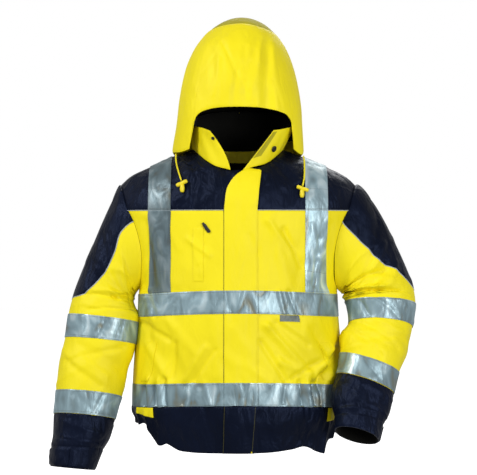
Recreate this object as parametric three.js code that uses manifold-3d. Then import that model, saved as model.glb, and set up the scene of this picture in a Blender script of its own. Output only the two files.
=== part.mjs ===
// A padded high-visibility work jacket, held in the hollow form that it has when it is worn.
// Millimetres, +Z up, the front faces -Y. The origin is the centre of the neck at the height where the shoulders start.
// The wearer's right side is at negative X. Every cut piece is a wall of its own, built from rows of points on a smooth surface.
import * as THREE from "three";
import { mergeVertices } from "three/addons/utils/BufferGeometryUtils.js";
import Module from "manifold-3d";

const wasm = await Module();
wasm.setup();

const clothThickness = 3;
const tapeThickness = 0.8;
const tapeLift = 0.3;
const yokeGap = 1; // half the seam allowance that the piping covers
const flapThickness = 2.2;

const yokeSeamZ = -137;
const shoulderHalfWidth = 275;
const frontDepth = 140;
const backDepth = 128;
const hemSeamZ = -567;
const clothPerRadian = 157; // millimetres of yoke cloth to one radian of its arch

const toRadians = THREE.MathUtils.degToRad;
const vec = (x, y, z) => new THREE.Vector3(x, y, z);

// Smooth curve through the rows of a table: column `at` is the position, column `key` is the value.
function track(table, at, key, position) {
  const last = table.length - 1;
  if (position <= table[0][at]) return table[0][key];
  if (position >= table[last][at]) return table[last][key];
  let i = 0;
  while (position > table[i + 1][at]) i += 1;
  const slope = (a, b) => (table[b][key] - table[a][key]) / (table[b][at] - table[a][at]);
  const here = slope(i, i + 1);
  const before = i > 0 ? slope(i - 1, i) : here;
  const after = i + 1 < last ? slope(i + 1, i + 2) : here;
  const startSlope = before * here > 0 ? (2 * before * here) / (before + here) : 0;
  const endSlope = after * here > 0 ? (2 * after * here) / (after + here) : 0;
  const span = table[i + 1][at] - table[i][at];
  const t = (position - table[i][at]) / span;
  const t2 = t * t;
  const t3 = t2 * t;
  const value = (2 * t3 - 3 * t2 + 1) * table[i][key] + (3 * t2 - 2 * t3) * table[i + 1][key];
  return value + span * ((t3 - 2 * t2 + t) * startSlope + (t3 - t2) * endSlope);
}

// Eases from 0 at one value to 1 at another, in either direction.
function smooth(from, to, value) {
  const t = THREE.MathUtils.clamp((value - from) / (to - from), 0, 1);
  return t * t * (3 - 2 * t);
}

// Trunk sections, lowest first: half the width, and the depth in front of and behind the side seams.
const trunk = [
  { z: -680, halfWidth: 224, front: 128, back: 124 },
  { z: -650, halfWidth: 226, front: 134, back: 128 },
  { z: -600, halfWidth: 235, front: 146, back: 134 },
  { z: -567, halfWidth: 237, front: 149, back: 137 },
  { z: -517, halfWidth: 236, front: 150, back: 138 },
  { z: -450, halfWidth: 232, front: 151, back: 139 },
  { z: -367, halfWidth: 225, front: 151, back: 139 },
  { z: -306, halfWidth: 222, front: 149, back: 137 },
  { z: -250, halfWidth: 238, front: 145, back: 133 },
  { z: -200, halfWidth: 257, front: 142, back: 130 },
  { z: -137, halfWidth: 275, front: 140, back: 128 },
];

// Height of the shoulder line over each distance from the middle.
const shoulderLine = [
  { x: 0, z: 20 },
  { x: 50, z: 15 },
  { x: 103, z: 0 },
  { x: 150, z: -18 },
  { x: 200, z: -40 },
  { x: 240, z: -59 },
  { x: 264, z: -80 },
  { x: 275, z: -90 },
];

// Large soft folds of the trunk: from one point of the front view to another, how wide, and how high.
const trunkFolds = [
  { x1: 83, z1: -410, x2: 185, z2: -530, width: 24, height: -5, side: "front" },
  { x1: 100, z1: -392, x2: 205, z2: -490, width: 22, height: 4, side: "front" },
  { x1: 205, z1: -300, x2: 150, z2: -400, width: 22, height: 4, side: "front" },
  { x1: -215, z1: -310, x2: -165, z2: -430, width: 24, height: 4, side: "front" },
  { x1: -190, z1: -400, x2: -120, z2: -510, width: 26, height: -4, side: "front" },
  { x1: -200, z1: -300, x2: -120, z2: -440, width: 28, height: 5, side: "back" },
  { x1: 200, z1: -300, x2: 130, z2: -430, width: 28, height: 5, side: "back" },
  { x1: -70, z1: -400, x2: 60, z2: -520, width: 30, height: -5, side: "back" },
];

// Height of the folds over the smooth form: a bell across each fold's line, fading out past its two ends.
function foldHeight(x, z, side) {
  let total = 0;
  for (const fold of trunkFolds) {
    if (fold.side !== side) continue;
    const dx = fold.x2 - fold.x1;
    const dz = fold.z2 - fold.z1;
    const length = Math.hypot(dx, dz);
    const along = ((x - fold.x1) * dx + (z - fold.z1) * dz) / length;
    const across = ((x - fold.x1) * dz - (z - fold.z1) * dx) / length;
    const past = Math.max(0, -along, along - length);
    total += fold.height * Math.exp(-((across / fold.width) ** 2) - (past / fold.width) ** 2);
  }
  const quiet = smooth(-560, -510, z) * (1 - smooth(-320, -290, z));
  return total * quiet;
}

const halfWidthAt = (z) => track(trunk, "z", "halfWidth", z);
const depthAt = (z, isFront) => track(trunk, "z", isFront ? "front" : "back", z);

// Point of the trunk: turn is in degrees from the front middle towards positive X.
function trunkPoint(turn, z) {
  const angle = toRadians(turn);
  const isFront = Math.cos(angle) > 0;
  const x = halfWidthAt(z) * Math.sin(angle);
  const depth = depthAt(z, isFront);
  const drop = 7 * smooth(-220, -300, z) * Math.sin(angle) ** 2;
  const lift = foldHeight(x, z, isFront ? "front" : "back") * Math.abs(Math.cos(angle)) ** 0.5;
  return vec(x, -(depth + lift) * Math.cos(angle), z - drop);
}

// Point of the yoke: arch runs in radians from the front seam (0) over the shoulder (half pi) to the back seam (pi).
function yokePoint(x, arch) {
  const depth = Math.cos(arch) > 0 ? frontDepth : backDepth;
  const reach = depth * Math.sqrt(Math.max(0, 1 - (x / shoulderHalfWidth) ** 2));
  const top = track(shoulderLine, "x", "z", Math.abs(x));
  return vec(x, -reach * Math.cos(arch), yokeSeamZ + (top - yokeSeamZ) * Math.sin(arch));
}

// Chart of the whole front or back: v is the height below the yoke seam, or the cloth length above it.
function chartPoint(x, v, isFront) {
  if (v > 0) return yokePoint(x, isFront ? v / clothPerRadian : Math.PI - v / clothPerRadian);
  const z = yokeSeamZ + v;
  const turn = THREE.MathUtils.radToDeg(Math.asin(x / Math.max(halfWidthAt(z), Math.abs(x) + 0.01)));
  return trunkPoint(isFront ? turn : 180 - turn, z);
}
const frontChart = (x, v) => chartPoint(x, v, true);
const backChart = (x, v) => chartPoint(x, v, false);

// The armhole is an ellipse in the side view.
const armhole = { z: -193, halfHeight: 113, halfDepth: 74, seam: 2.4 };

// Turn at which the trunk's cloth ends at a height: at the armhole, or at the side seam below it.
function turnAtSide(z, isFront) {
  const rise = (z - armhole.z) / armhole.halfHeight;
  if (Math.abs(rise) >= 1) return 90;
  const y = armhole.halfDepth * Math.sqrt(1 - rise * rise);
  return THREE.MathUtils.radToDeg(Math.acos(y / depthAt(z, isFront)));
}

function bisect(test, low, high) {
  for (let i = 0; i < 50; i += 1) {
    const middle = (low + high) / 2;
    if (test(middle)) low = middle;
    else high = middle;
  }
  return (low + high) / 2;
}

// Distance from the middle at which the yoke ends at the armhole, for one place on its arch.
function yokeEnd(arch) {
  return bisect((x) => {
    const p = yokePoint(x, arch);
    return (p.y / armhole.halfDepth) ** 2 + ((p.z - armhole.z) / armhole.halfHeight) ** 2 > 1;
  }, 197, 274.9);
}

// Point of the sleeve's seam just inside the armhole: around is 0 at the top, 90 at the front, 180 at the underarm.
function armholePoint(side, around) {
  const angle = toRadians(around);
  const y = -(armhole.halfDepth - armhole.seam) * Math.sin(angle);
  const z = armhole.z + (armhole.halfHeight - armhole.seam) * Math.cos(angle);
  const isFront = y < 0;
  if (z < yokeSeamZ) {
    const turn = Math.acos(Math.abs(y) / depthAt(z, isFront));
    const x = halfWidthAt(z) * Math.sin(turn);
    const drop = 7 * smooth(-220, -300, z) * Math.sin(turn) ** 2;
    return vec(side * x, y, z - drop);
  }
  const depth = isFront ? frontDepth : backDepth;
  const x = bisect((guess) => {
    const reach = depth * Math.sqrt(1 - (guess / shoulderHalfWidth) ** 2);
    const top = track(shoulderLine, "x", "z", guess);
    return (y / reach) ** 2 + ((z - yokeSeamZ) / (top - yokeSeamZ)) ** 2 < 1;
  }, 100, 274.9);
  return vec(side * x, y, z);
}

// Sleeve sections from the armhole to the cuff's opening, in the front view: the outer and the inner end of each
// section, its place front to back, how far its front edge tips up in degrees, and half its depth.
const rightSleeve = [
  { t: 0, outX: 264, outZ: -80, inX: 222, inZ: -313, y: 0, tip: 0, depth: 74 },
  { t: 1, outX: 282, outZ: -115, inX: 227, inZ: -319, y: 0, tip: 0, depth: 74 },
  { t: 2, outX: 305, outZ: -165, inX: 231, inZ: -326, y: -1, tip: 1, depth: 73 },
  { t: 3, outX: 330, outZ: -225, inX: 233, inZ: -335, y: -3, tip: 2, depth: 72 },
  { t: 4, outX: 352, outZ: -278, inX: 235, inZ: -347, y: -6, tip: 4, depth: 71 },
  { t: 5, outX: 369, outZ: -325, inX: 236, inZ: -363, y: -9, tip: 6, depth: 70 },
  { t: 6, outX: 380, outZ: -369, inX: 237, inZ: -387, y: -13, tip: 7, depth: 70 },
  { t: 7, outX: 387, outZ: -421, inX: 240, inZ: -436, y: -20, tip: 8, depth: 69 },
  { t: 8, outX: 400, outZ: -480, inX: 248, inZ: -492, y: -29, tip: 10, depth: 69 },
  { t: 9, outX: 405, outZ: -538, inX: 260, inZ: -551, y: -40, tip: 11, depth: 66 },
  { t: 10, outX: 409, outZ: -589, inX: 273, inZ: -601, y: -50, tip: 11, depth: 61 },
  { t: 11, outX: 410, outZ: -634, inX: 284, inZ: -641, y: -58, tip: 11, depth: 57 },
  { t: 12, outX: 414, outZ: -661, inX: 298, inZ: -666, y: -64, tip: 10, depth: 52 },
  { t: 13, outX: 415, outZ: -702, inX: 316, inZ: -711, y: -72, tip: 9, depth: 46 },
];
const leftSleeve = [
  { t: 0, outX: 264, outZ: -80, inX: 222, inZ: -313, y: 0, tip: 0, depth: 74 },
  { t: 1, outX: 298, outZ: -112, inX: 227, inZ: -317, y: 0, tip: 0, depth: 74 },
  { t: 2, outX: 328, outZ: -160, inX: 231, inZ: -321, y: -2, tip: 1, depth: 74 },
  { t: 3, outX: 354, outZ: -214, inX: 233, inZ: -325, y: -5, tip: 3, depth: 73 },
  { t: 4, outX: 377, outZ: -266, inX: 235, inZ: -329, y: -9, tip: 5, depth: 72 },
  { t: 5, outX: 393, outZ: -310, inX: 236, inZ: -334, y: -13, tip: 8, depth: 72 },
  { t: 6, outX: 397, outZ: -346, inX: 237, inZ: -340, y: -18, tip: 12, depth: 71 },
  { t: 7, outX: 389, outZ: -398, inX: 240, inZ: -388, y: -28, tip: 17, depth: 68 },
  { t: 8, outX: 379, outZ: -449, inX: 242, inZ: -420, y: -42, tip: 16, depth: 66 },
  { t: 9, outX: 356, outZ: -498, inX: 240, inZ: -454, y: -60, tip: 14, depth: 62 },
  { t: 10, outX: 343, outZ: -543, inX: 233, inZ: -498, y: -80, tip: 16, depth: 58 },
  { t: 11, outX: 331, outZ: -584, inX: 209, inZ: -548, y: -104, tip: 20, depth: 57 },
  { t: 12, outX: 317, outZ: -606, inX: 211, inZ: -588, y: -122, tip: 24, depth: 50 },
  { t: 13, outX: 306, outZ: -641, inX: 210, inZ: -613, y: -138, tip: 25, depth: 46 },
];

// Half the spread of the dark shoulder panel around the sleeve, in degrees, from the armhole to its tip.
const rightPanel = [
  { t: 0, spread: 74 },
  { t: 1, spread: 75 },
  { t: 2, spread: 80 },
  { t: 3, spread: 78 },
  { t: 4, spread: 68 },
  { t: 4.6, spread: 57 },
  { t: 5, spread: 42 },
  { t: 5.25, spread: 0 },
];
const leftPanel = [
  { t: 0, spread: 74 },
  { t: 1, spread: 83 },
  { t: 2, spread: 78 },
  { t: 3, spread: 70 },
  { t: 4, spread: 46 },
  { t: 4.6, spread: 33 },
  { t: 5, spread: 18 },
  { t: 5.15, spread: 0 },
];

const sleeves = {
  right: { side: -1, sections: rightSleeve, panel: rightPanel, tipAt: 5.25, bulge: 3 },
  left: { side: 1, sections: leftSleeve, panel: leftPanel, tipAt: 5.15, bulge: 6 },
};

// Soft rings of a bent sleeve: where along it, how high, and around which side they are strongest.
const sleeveRings = {
  right: [
    { t: 3.6, width: 0.3, height: -4, around: 130 },
    { t: 5.5, width: 0.3, height: 3, around: 200 },
    { t: 8.0, width: 0.35, height: -4, around: 150 },
  ],
  left: [
    { t: 3.4, width: 0.35, height: -5, around: 140 },
    { t: 4.6, width: 0.35, height: 4, around: 120 },
    { t: 5.5, width: 0.3, height: -5, around: 130 },
    { t: 7.7, width: 0.35, height: -4, around: 60 },
    { t: 8.5, width: 0.3, height: 3, around: 100 },
  ],
};

// Point of a sleeve: around is 0 on the outer side, 90 at the front, 180 on the inner side.
function sleevePoint(name, around, t) {
  const { side, sections, bulge } = sleeves[name];
  const at = (key) => track(sections, "t", key, t);
  const outer = vec(side * at("outX"), at("y"), at("outZ"));
  const inner = vec(side * at("inX"), at("y"), at("inZ"));
  const middle = outer.clone().add(inner).multiplyScalar(0.5);
  const reach = outer.clone().sub(middle);
  const up = vec(-reach.z * side, 0, reach.x * side).normalize();
  const tip = toRadians(at("tip"));
  const forward = vec(0, -Math.cos(tip), 0).addScaledVector(up, Math.sin(tip)).multiplyScalar(at("depth"));
  const angle = toRadians(around);
  let height = 1;
  for (const ring of sleeveRings[name]) {
    const facing = Math.max(0, Math.cos(toRadians(around - ring.around)));
    height += (ring.height / 70) * facing * Math.exp(-(((t - ring.t) / ring.width) ** 2));
  }
  const point = middle.addScaledVector(reach, height * Math.cos(angle));
  point.addScaledVector(forward, height * Math.sin(angle));
  if (t < 1) {
    const seam = armholePoint(side, around);
    const start = Math.max(0, Math.cos(angle)) * bulge * Math.sin(Math.PI * t);
    point.lerp(seam, (1 - t) ** 2 * (1 + 2 * t)).add(vec(side * start * 0.7, 0, start * 0.7));
  }
  return point;
}

// Collar rows from the wearer's right front end round the back to the left one: the neck seam in plan, the top edge,
// and how far the middle of the height bends towards positive X.
const collarRows = [
  { u: 0, neckX: -17, neckY: -116, topX: -63, topY: -113, topZ: 36, bend: 8 },
  { u: 1, neckX: -49, neckY: -107, topX: -79, topY: -97, topZ: 43, bend: 4 },
  { u: 2, neckX: -72, neckY: -90, topX: -92, topY: -68, topZ: 48, bend: 0 },
  { u: 3, neckX: -92, neckY: -55, topX: -101, topY: -32, topZ: 53, bend: 0 },
  { u: 4, neckX: -102, neckY: -10, topX: -106, topY: 6, topZ: 60, bend: 0 },
  { u: 5, neckX: -94, neckY: 38, topX: -98, topY: 44, topZ: 72, bend: 0 },
  { u: 6, neckX: -58, neckY: 70, topX: -60, topY: 79, topZ: 85, bend: 0 },
  { u: 7, neckX: 0, neckY: 81, topX: 2, topY: 92, topZ: 90, bend: 0 },
  { u: 8, neckX: 58, neckY: 70, topX: 64, topY: 79, topZ: 85, bend: 0 },
  { u: 9, neckX: 94, neckY: 38, topX: 105, topY: 44, topZ: 72, bend: 0 },
  { u: 10, neckX: 102, neckY: -10, topX: 118, topY: 6, topZ: 60, bend: 0 },
  { u: 11, neckX: 97, neckY: -45, topX: 123, topY: -32, topZ: 51, bend: 0 },
  { u: 12, neckX: 84, neckY: -76, topX: 114, topY: -68, topZ: 46, bend: 0 },
  { u: 13, neckX: 62, neckY: -100, topX: 99, topY: -96, topZ: 41, bend: 0 },
  { u: 14, neckX: 11, neckY: -117, topX: 79, topY: -113, topZ: 37, bend: 0 },
];

// Height of the yoke's outer face over a point of the plan.
function yokeHeight(x, y) {
  const depth = y < 0 ? frontDepth : backDepth;
  const reach = depth * Math.sqrt(1 - (x / shoulderHalfWidth) ** 2);
  const top = track(shoulderLine, "x", "z", Math.abs(x));
  return yokeSeamZ + (top - yokeSeamZ) * Math.sqrt(Math.max(0, 1 - (y / reach) ** 2));
}

// Point of the collar: u runs round the neck, height is 0 at the seam and 1 at the top edge.
function collarPoint(u, height) {
  const at = (key) => track(collarRows, "u", key, u);
  const x = at("neckX");
  const y = at("neckY");
  const neck = vec(x, y, yokeHeight(x, y) + 2.4);
  const top = vec(at("topX"), at("topY"), at("topZ"));
  const point = neck.lerp(top, height);
  point.x += at("bend") * 4 * height * (1 - height);
  return point;
}

// Arch of the yoke at which its cloth meets the neck seam, for a column x.
function archAtNeck(x, isFront) {
  const rows = collarRows.slice(0, 8).map((row) => ({ x: -row.neckX, y: row.neckY }));
  const half = isFront ? rows.slice(0, 5) : rows.slice(4).reverse();
  half.push({ x: 103, y: 0 });
  half.sort((a, b) => a.x - b.x);
  const y = track(half, "x", "y", Math.abs(x));
  const depth = isFront ? frontDepth : backDepth;
  const reach = depth * Math.sqrt(1 - (x / shoulderHalfWidth) ** 2);
  return Math.acos(Math.max(0, Math.abs(y) / reach));
}

// Hood sections, lowest first: middle and half of the width, the front and the back face, and how square the plan is.
const hoodSections = [
  { z: -30, middle: -1, half: 149, front: -92, back: 86, square: 0.78 },
  { z: 0, middle: 0, half: 147, front: -100, back: 92, square: 0.78 },
  { z: 56, middle: 3, half: 141, front: -113, back: 116, square: 0.78 },
  { z: 94, middle: 4, half: 138, front: -117, back: 125, square: 0.82 },
  { z: 124, middle: 4, half: 134, front: -117, back: 128, square: 0.86 },
  { z: 180, middle: 4, half: 122, front: -111, back: 126, square: 0.92 },
  { z: 225, middle: 5, half: 104, front: -99, back: 115, square: 0.97 },
  { z: 256, middle: 6, half: 83, front: -80, back: 99, square: 1 },
  { z: 274, middle: 7, half: 65, front: -62, back: 84, square: 1 },
  { z: 286, middle: 8, half: 48, front: -43, back: 67, square: 1 },
  { z: 295, middle: 8, half: 28, front: -18, back: 44, square: 1 },
  { z: 299, middle: 8, half: 12, front: 2, back: 27, square: 1 },
  { z: 300, middle: 8, half: 0, front: 14, back: 14, square: 1 },
];

// Lower edge of the hood: the brim over the face, then the sides that hang beside the collar, then the neck.
const hoodEdge = [
  { turn: -180, z: -8 },
  { turn: -130, z: -4 },
  { turn: -90, z: -5 },
  { turn: -65, z: -8 },
  { turn: -44, z: -1 },
  { turn: -41, z: 58 },
  { turn: -36, z: 74 },
  { turn: -28, z: 85 },
  { turn: -15, z: 94 },
  { turn: 0, z: 95 },
  { turn: 15, z: 92 },
  { turn: 30, z: 86 },
  { turn: 40, z: 77 },
  { turn: 48, z: 64 },
  { turn: 52, z: 52 },
  { turn: 55, z: -1 },
  { turn: 72, z: -12 },
  { turn: 90, z: -7 },
  { turn: 130, z: -4 },
  { turn: 180, z: -8 },
];

const crownSeam = [
  { turn: -180, z: 262 },
  { turn: -90, z: 268 },
  { turn: 0, z: 279 },
  { turn: 90, z: 261 },
  { turn: 180, z: 262 },
];

const hoodFolds = [
  { x1: 66, z1: 100, x2: 60, z2: 240, width: 16, height: -6 },
  { x1: 30, z1: 190, x2: 40, z2: 260, width: 14, height: -3 },
  { x1: -20, z1: 95, x2: -35, z2: 240, width: 22, height: 4 },
  { x1: 100, z1: 60, x2: 95, z2: 200, width: 18, height: 4 },
];

// Point of the hood: turn is in degrees from the front middle towards positive X.
function hoodPoint(turn, z) {
  const at = (key) => track(hoodSections, "z", key, z);
  const angle = toRadians(turn);
  const sine = Math.sin(angle);
  const cosine = Math.cos(angle);
  const square = at("square");
  const centre = (at("front") + at("back")) / 2;
  const pole = 14 + (centre - 14) * smooth(300, 200, z);
  const reach = cosine > 0 ? pole - at("front") : at("back") - pole;
  const x = at("middle") + at("half") * Math.sign(sine) * Math.abs(sine) ** square;
  let y = pole - reach * Math.sign(cosine) * Math.abs(cosine) ** square;
  if (cosine > 0) {
    for (const fold of hoodFolds) {
      const past = Math.max(0, fold.z1 - z, z - fold.z2);
      const line = fold.x1 + ((z - fold.z1) / (fold.z2 - fold.z1)) * (fold.x2 - fold.x1);
      const bell = Math.exp(-(((x - line) / fold.width) ** 2) - (past / 30) ** 2);
      y -= fold.height * bell * cosine * (1 - smooth(240, 272, z));
    }
  }
  return vec(x, y, z);
}

const hoodPart = (turn, part) => {
  const low = track(hoodEdge, "turn", "z", turn);
  const high = track(crownSeam, "turn", "z", turn);
  return hoodPoint(turn, low + (high - low) * part);
};

const crownPart = (turn, part) => {
  const low = track(crownSeam, "turn", "z", turn);
  return hoodPoint(turn, low + (300 - low) * part);
};

// Outward normal of a surface, from four near points. The sign says which way round its two parameters run.
function normalOf(surface, u, v, stepU, stepV, sign) {
  const alongU = surface(u + stepU, v).sub(surface(u - stepU, v));
  const alongV = surface(u, v + stepV).sub(surface(u, v - stepV));
  return alongU.cross(alongV).normalize().multiplyScalar(sign);
}

// One closed wall between two faces of the same rows of points. Places that meet themselves are left open to the weld.
function wallGeometry(outer, inner) {
  const rows = outer.length - 1;
  const columns = outer[0].length - 1;
  const corners = [];
  const near = (a, b) => a.distanceToSquared(b) < 1e-6;
  const triangle = (a, b, c) => {
    if (!near(a, b) && !near(b, c) && !near(c, a)) corners.push(a, b, c);
  };
  const quad = (a, b, c, d) => {
    triangle(a, b, c);
    triangle(a, c, d);
  };
  for (let i = 0; i < rows; i += 1) {
    for (let j = 0; j < columns; j += 1) {
      quad(outer[i][j], outer[i][j + 1], outer[i + 1][j + 1], outer[i + 1][j]);
      quad(inner[i][j], inner[i + 1][j], inner[i + 1][j + 1], inner[i][j + 1]);
    }
  }
  for (let j = 0; j < columns; j += 1) {
    quad(outer[0][j], inner[0][j], inner[0][j + 1], outer[0][j + 1]);
    quad(outer[rows][j], outer[rows][j + 1], inner[rows][j + 1], inner[rows][j]);
  }
  for (let i = 0; i < rows; i += 1) {
    const closed = near(outer[i][0], outer[i][columns]) && near(outer[i + 1][0], outer[i + 1][columns]);
    if (closed) continue;
    quad(outer[i][0], outer[i + 1][0], inner[i + 1][0], inner[i][0]);
    quad(outer[i][columns], inner[i][columns], inner[i + 1][columns], outer[i + 1][columns]);
  }
  return solidFrom(corners);
}

// Buffer geometry from a list of corners, turned outwards when its volume comes out negative.
function solidFrom(corners) {
  let volume = 0;
  for (let i = 0; i < corners.length; i += 3) {
    volume += corners[i].dot(corners[i + 1].clone().cross(corners[i + 2]));
  }
  const positions = [];
  for (let i = 0; i < corners.length; i += 3) {
    const order = volume > 0 ? [0, 1, 2] : [0, 2, 1];
    for (const k of order) positions.push(...corners[i + k].toArray());
  }
  const geometry = new THREE.BufferGeometry();
  geometry.setAttribute("position", new THREE.Float32BufferAttribute(positions, 3));
  geometry.computeVertexNormals();
  return geometry;
}

const materials = {
  yellow: new THREE.MeshStandardMaterial({ color: 0xf0e400, roughness: 0.65, metalness: 0 }),
  navy: new THREE.MeshStandardMaterial({ color: 0x161c2e, roughness: 0.6, metalness: 0 }),
  tape: new THREE.MeshStandardMaterial({ color: 0x8fa9b3, roughness: 0.4, metalness: 0.3 }),
  black: new THREE.MeshStandardMaterial({ color: 0x111112, roughness: 0.5, metalness: 0 }),
  lining: new THREE.MeshStandardMaterial({ color: 0x121210, roughness: 0.95, metalness: 0 }),
  olive: new THREE.MeshStandardMaterial({ color: 0x82801f, roughness: 0.8, metalness: 0 }),
};

const jacket = new THREE.Group();
jacket.name = "hi_vis_work_jacket";

function add(name, geometry, material) {
  const mesh = new THREE.Mesh(geometry, materials[material]);
  mesh.name = name;
  jacket.add(mesh);
  return mesh;
}

// A wall on a surface: the grid gives [u, v] for each row and column, and the wall lies between two heights over it.
function addWall(name, material, surface, grid, low, high, options = {}) {
  const { stepU = 0.5, stepV = 0.5, sign = 1 } = options;
  const face = (height) =>
    grid.map((row) =>
      row.map(([u, v]) => {
        const normal = normalOf(surface, u, v, stepU, stepV, sign);
        return surface(u, v).addScaledVector(normal, height);
      }),
    );
  return add(name, wallGeometry(face(high), face(low)), material);
}

// Column positions of one half, from the front middle to the side. The last two go to the armhole or side seam.
const nearColumns = [0.15, 30, 42, 75, 98, 122, 147, 172, 197];
const sideShares = [0.5, 1];
const trunkLevels = [
  -566.7, -542, -517, -480, -440, -400, -367, -342, -317, -306, -280, -245, -205, -170, -138.2,
];

// x of a column at a height. Columns past the last fixed one share out the room to the side.
function columnTurn(index, z, isFront) {
  const width = Math.max(halfWidthAt(z), 222);
  const fixed = (x) => THREE.MathUtils.radToDeg(Math.asin(x / width));
  if (index < nearColumns.length) return fixed(nearColumns[index]);
  const start = fixed(nearColumns[nearColumns.length - 1]);
  const share = sideShares[index - nearColumns.length];
  return start + share * (turnAtSide(z, isFront) - 0.05 - start);
}

const columnCount = nearColumns.length + sideShares.length;
const columnsBetween = (from, to) => Array.from({ length: to - from + 1 }, (_, i) => from + i);
const levelsBetween = (low, high) => trunkLevels.filter((z) => z >= low - 1 && z <= high + 1);
const columnOf = (x) => nearColumns.indexOf(x);
const lastColumn = columnCount - 1;

function trunkGrid(side, isFront, columns, levels) {
  return levels.map((z) =>
    columns.map((index) => {
      const turn = columnTurn(index, z, isFront);
      return [side * (isFront ? turn : 180 - turn), z];
    }),
  );
}

// Front panels, one to each side of the middle, and the back in one piece.
const outward = { sign: 1, stepU: 0.2, stepV: 0.5 };
const everyColumn = columnsBetween(0, lastColumn);
for (const [name, side] of [["right", -1], ["left", 1]]) {
  const grid = trunkGrid(side, true, everyColumn, trunkLevels);
  addWall("front_" + name, "yellow", trunkPoint, grid, -clothThickness, 0, outward);
}

function backGrid(columns, levels) {
  const rightHalf = trunkGrid(-1, false, columns, levels);
  const leftHalf = trunkGrid(1, false, columns, levels);
  return levels.map((_, i) => [
    ...leftHalf[i].slice().reverse(),
    ...rightHalf[i].map(([turn, z]) => [turn + 360, z]),
  ]);
}
addWall("back", "yellow", trunkPoint, backGrid(everyColumn, trunkLevels), -clothThickness, 0, outward);

// Hem: its edge is level in front and behind, and drawn up and gathered at both sides.
function hemPoint(turn, part) {
  const full = ((turn % 360) + 360) % 360;
  const off = full > 180 ? 360 - full : full;
  const fromFront = Math.min(off, 180 - off);
  const isLeft = full < 180;
  const rise = isLeft ? 42 * smooth(52, 88, fromFront) : 66 * smooth(30, 80, fromFront);
  const height = 113 - rise;
  const z = hemSeamZ - 0.3 - part * height;
  const section = hemSeamZ - part * 113;
  const angle = toRadians(turn);
  const depth = depthAt(section, Math.cos(angle) > 0);
  const waves = 3.6 * Math.sin(toRadians(fromFront * 26)) * smooth(44, 60, fromFront) * Math.sin(Math.PI * part * 0.5);
  const x = -5 * part + (halfWidthAt(section) + waves) * Math.sin(angle);
  return vec(x, -(depth + waves) * Math.cos(angle), z - 7 * Math.sin(angle) ** 2);
}
const hemParts = [0, 0.3, 0.65, 1];
const turnOf = (x) => THREE.MathUtils.radToDeg(Math.asin(x / 237));
const hemTurns = [turnOf(30), turnOf(42), 17, 24, 31, 38, 44, 48];
for (let turn = 51.5; turn < 89; turn += 3.46) hemTurns.push(turn);
hemTurns.push(89.95);
const hemGrid = (turns) => hemParts.map((part) => turns.map((turn) => [turn, part]));
const hemOptions = { sign: -1, stepU: 0.2, stepV: 0.01 };
const hemFrontTurns = [0.04, ...hemTurns];
addWall("hem_front_left", "navy", hemPoint, hemGrid(hemFrontTurns), -clothThickness, 0, hemOptions);
const hemRightTurns = hemFrontTurns.map((turn) => -turn);
addWall("hem_front_right", "navy", hemPoint, hemGrid(hemRightTurns), -clothThickness, 0, hemOptions);
const hemBackTurns = [...hemTurns.map((turn) => 180 - turn).reverse(), 180, ...hemTurns.map((turn) => 180 + turn)];
addWall("hem_back", "navy", hemPoint, hemGrid(hemBackTurns.sort((a, b) => a - b)), -clothThickness, 0, hemOptions);

// Yoke: the columns go from the front or back middle to the armhole, the rows from the seam to the neck or shoulder.
const yokeRows = [0, 0.17, 0.34, 0.5, 0.66, 0.83, 1];
const yokeColumns = [0.15, 30, 42, 62, 80, 93, 103, 122, 147, 172, 197];
function yokeGrid(side, isFront) {
  return yokeRows.map((row) => {
    const half = Math.PI / 2;
    const cells = [];
    const start = yokeGap / clothPerRadian;
    for (const x of yokeColumns) {
      const top = x < 102.5 ? archAtNeck(x, isFront) : half;
      cells.push([x, start + row * (top - start - 0.0012)]);
    }
    for (const share of sideShares) {
      const arch = start + row * (half - start - 0.0012);
      cells.push([197 + share * (yokeEnd(isFront ? arch : Math.PI - arch) - 197), arch]);
    }
    return cells.map(([x, arch]) => [side * x, isFront ? arch : Math.PI - arch]);
  });
}
const yokeOptions = { sign: 1, stepU: 0.3, stepV: 0.002 };
for (const [name, side] of [["right", -1], ["left", 1]]) {
  addWall("front_yoke_" + name, "navy", yokePoint, yokeGrid(side, true), -clothThickness, 0, yokeOptions);
}
const backYokeRight = yokeGrid(-1, false);
const backYokeLeft = yokeGrid(1, false);
const backYoke = backYokeRight.map((row, i) => [...row.slice().reverse(), ...backYokeLeft[i]]);
addWall("back_yoke", "navy", yokePoint, backYoke, -clothThickness, 0, yokeOptions);

// Storm flap over the middle: straight below the yoke seam, and swinging over to the left collar above it.
const flapEdges = [
  { v: -431, left: -30, right: 42 },
  { v: -2, left: -30, right: 42 },
  { v: 22, left: -28, right: 43.5 },
  { v: 45, left: -24.5, right: 45.5 },
  { v: 62, left: -17, right: 47.5 },
  { v: 76, left: -6, right: 49 },
  { v: 86, left: 5, right: 50 },
  { v: 92, left: 12, right: 50.5 },
];
const flapColumns = [-30, 0, 30, 42];
const flapLift = (v) => tapeLift + 1.5 * smooth(-2, 30, v);
function flapFace(level) {
  const values = [...trunkLevels.slice(0, -1).map((z) => z - yokeSeamZ), -0.9, 13, 26, 40, 54, 66, 76, 83, 88];
  return values.map((v) => {
    const left = track(flapEdges, "v", "left", v);
    const right = track(flapEdges, "v", "right", v);
    return flapColumns.map((x) => {
      const place = left + ((x + 30) / 72) * (right - left);
      const normal = normalOf(frontChart, place, v, 0.3, 0.2, 1);
      return frontChart(place, v).addScaledVector(normal, flapLift(v) + level);
    });
  });
}
add("storm_flap", wallGeometry(flapFace(flapThickness), flapFace(0)), "yellow");

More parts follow.
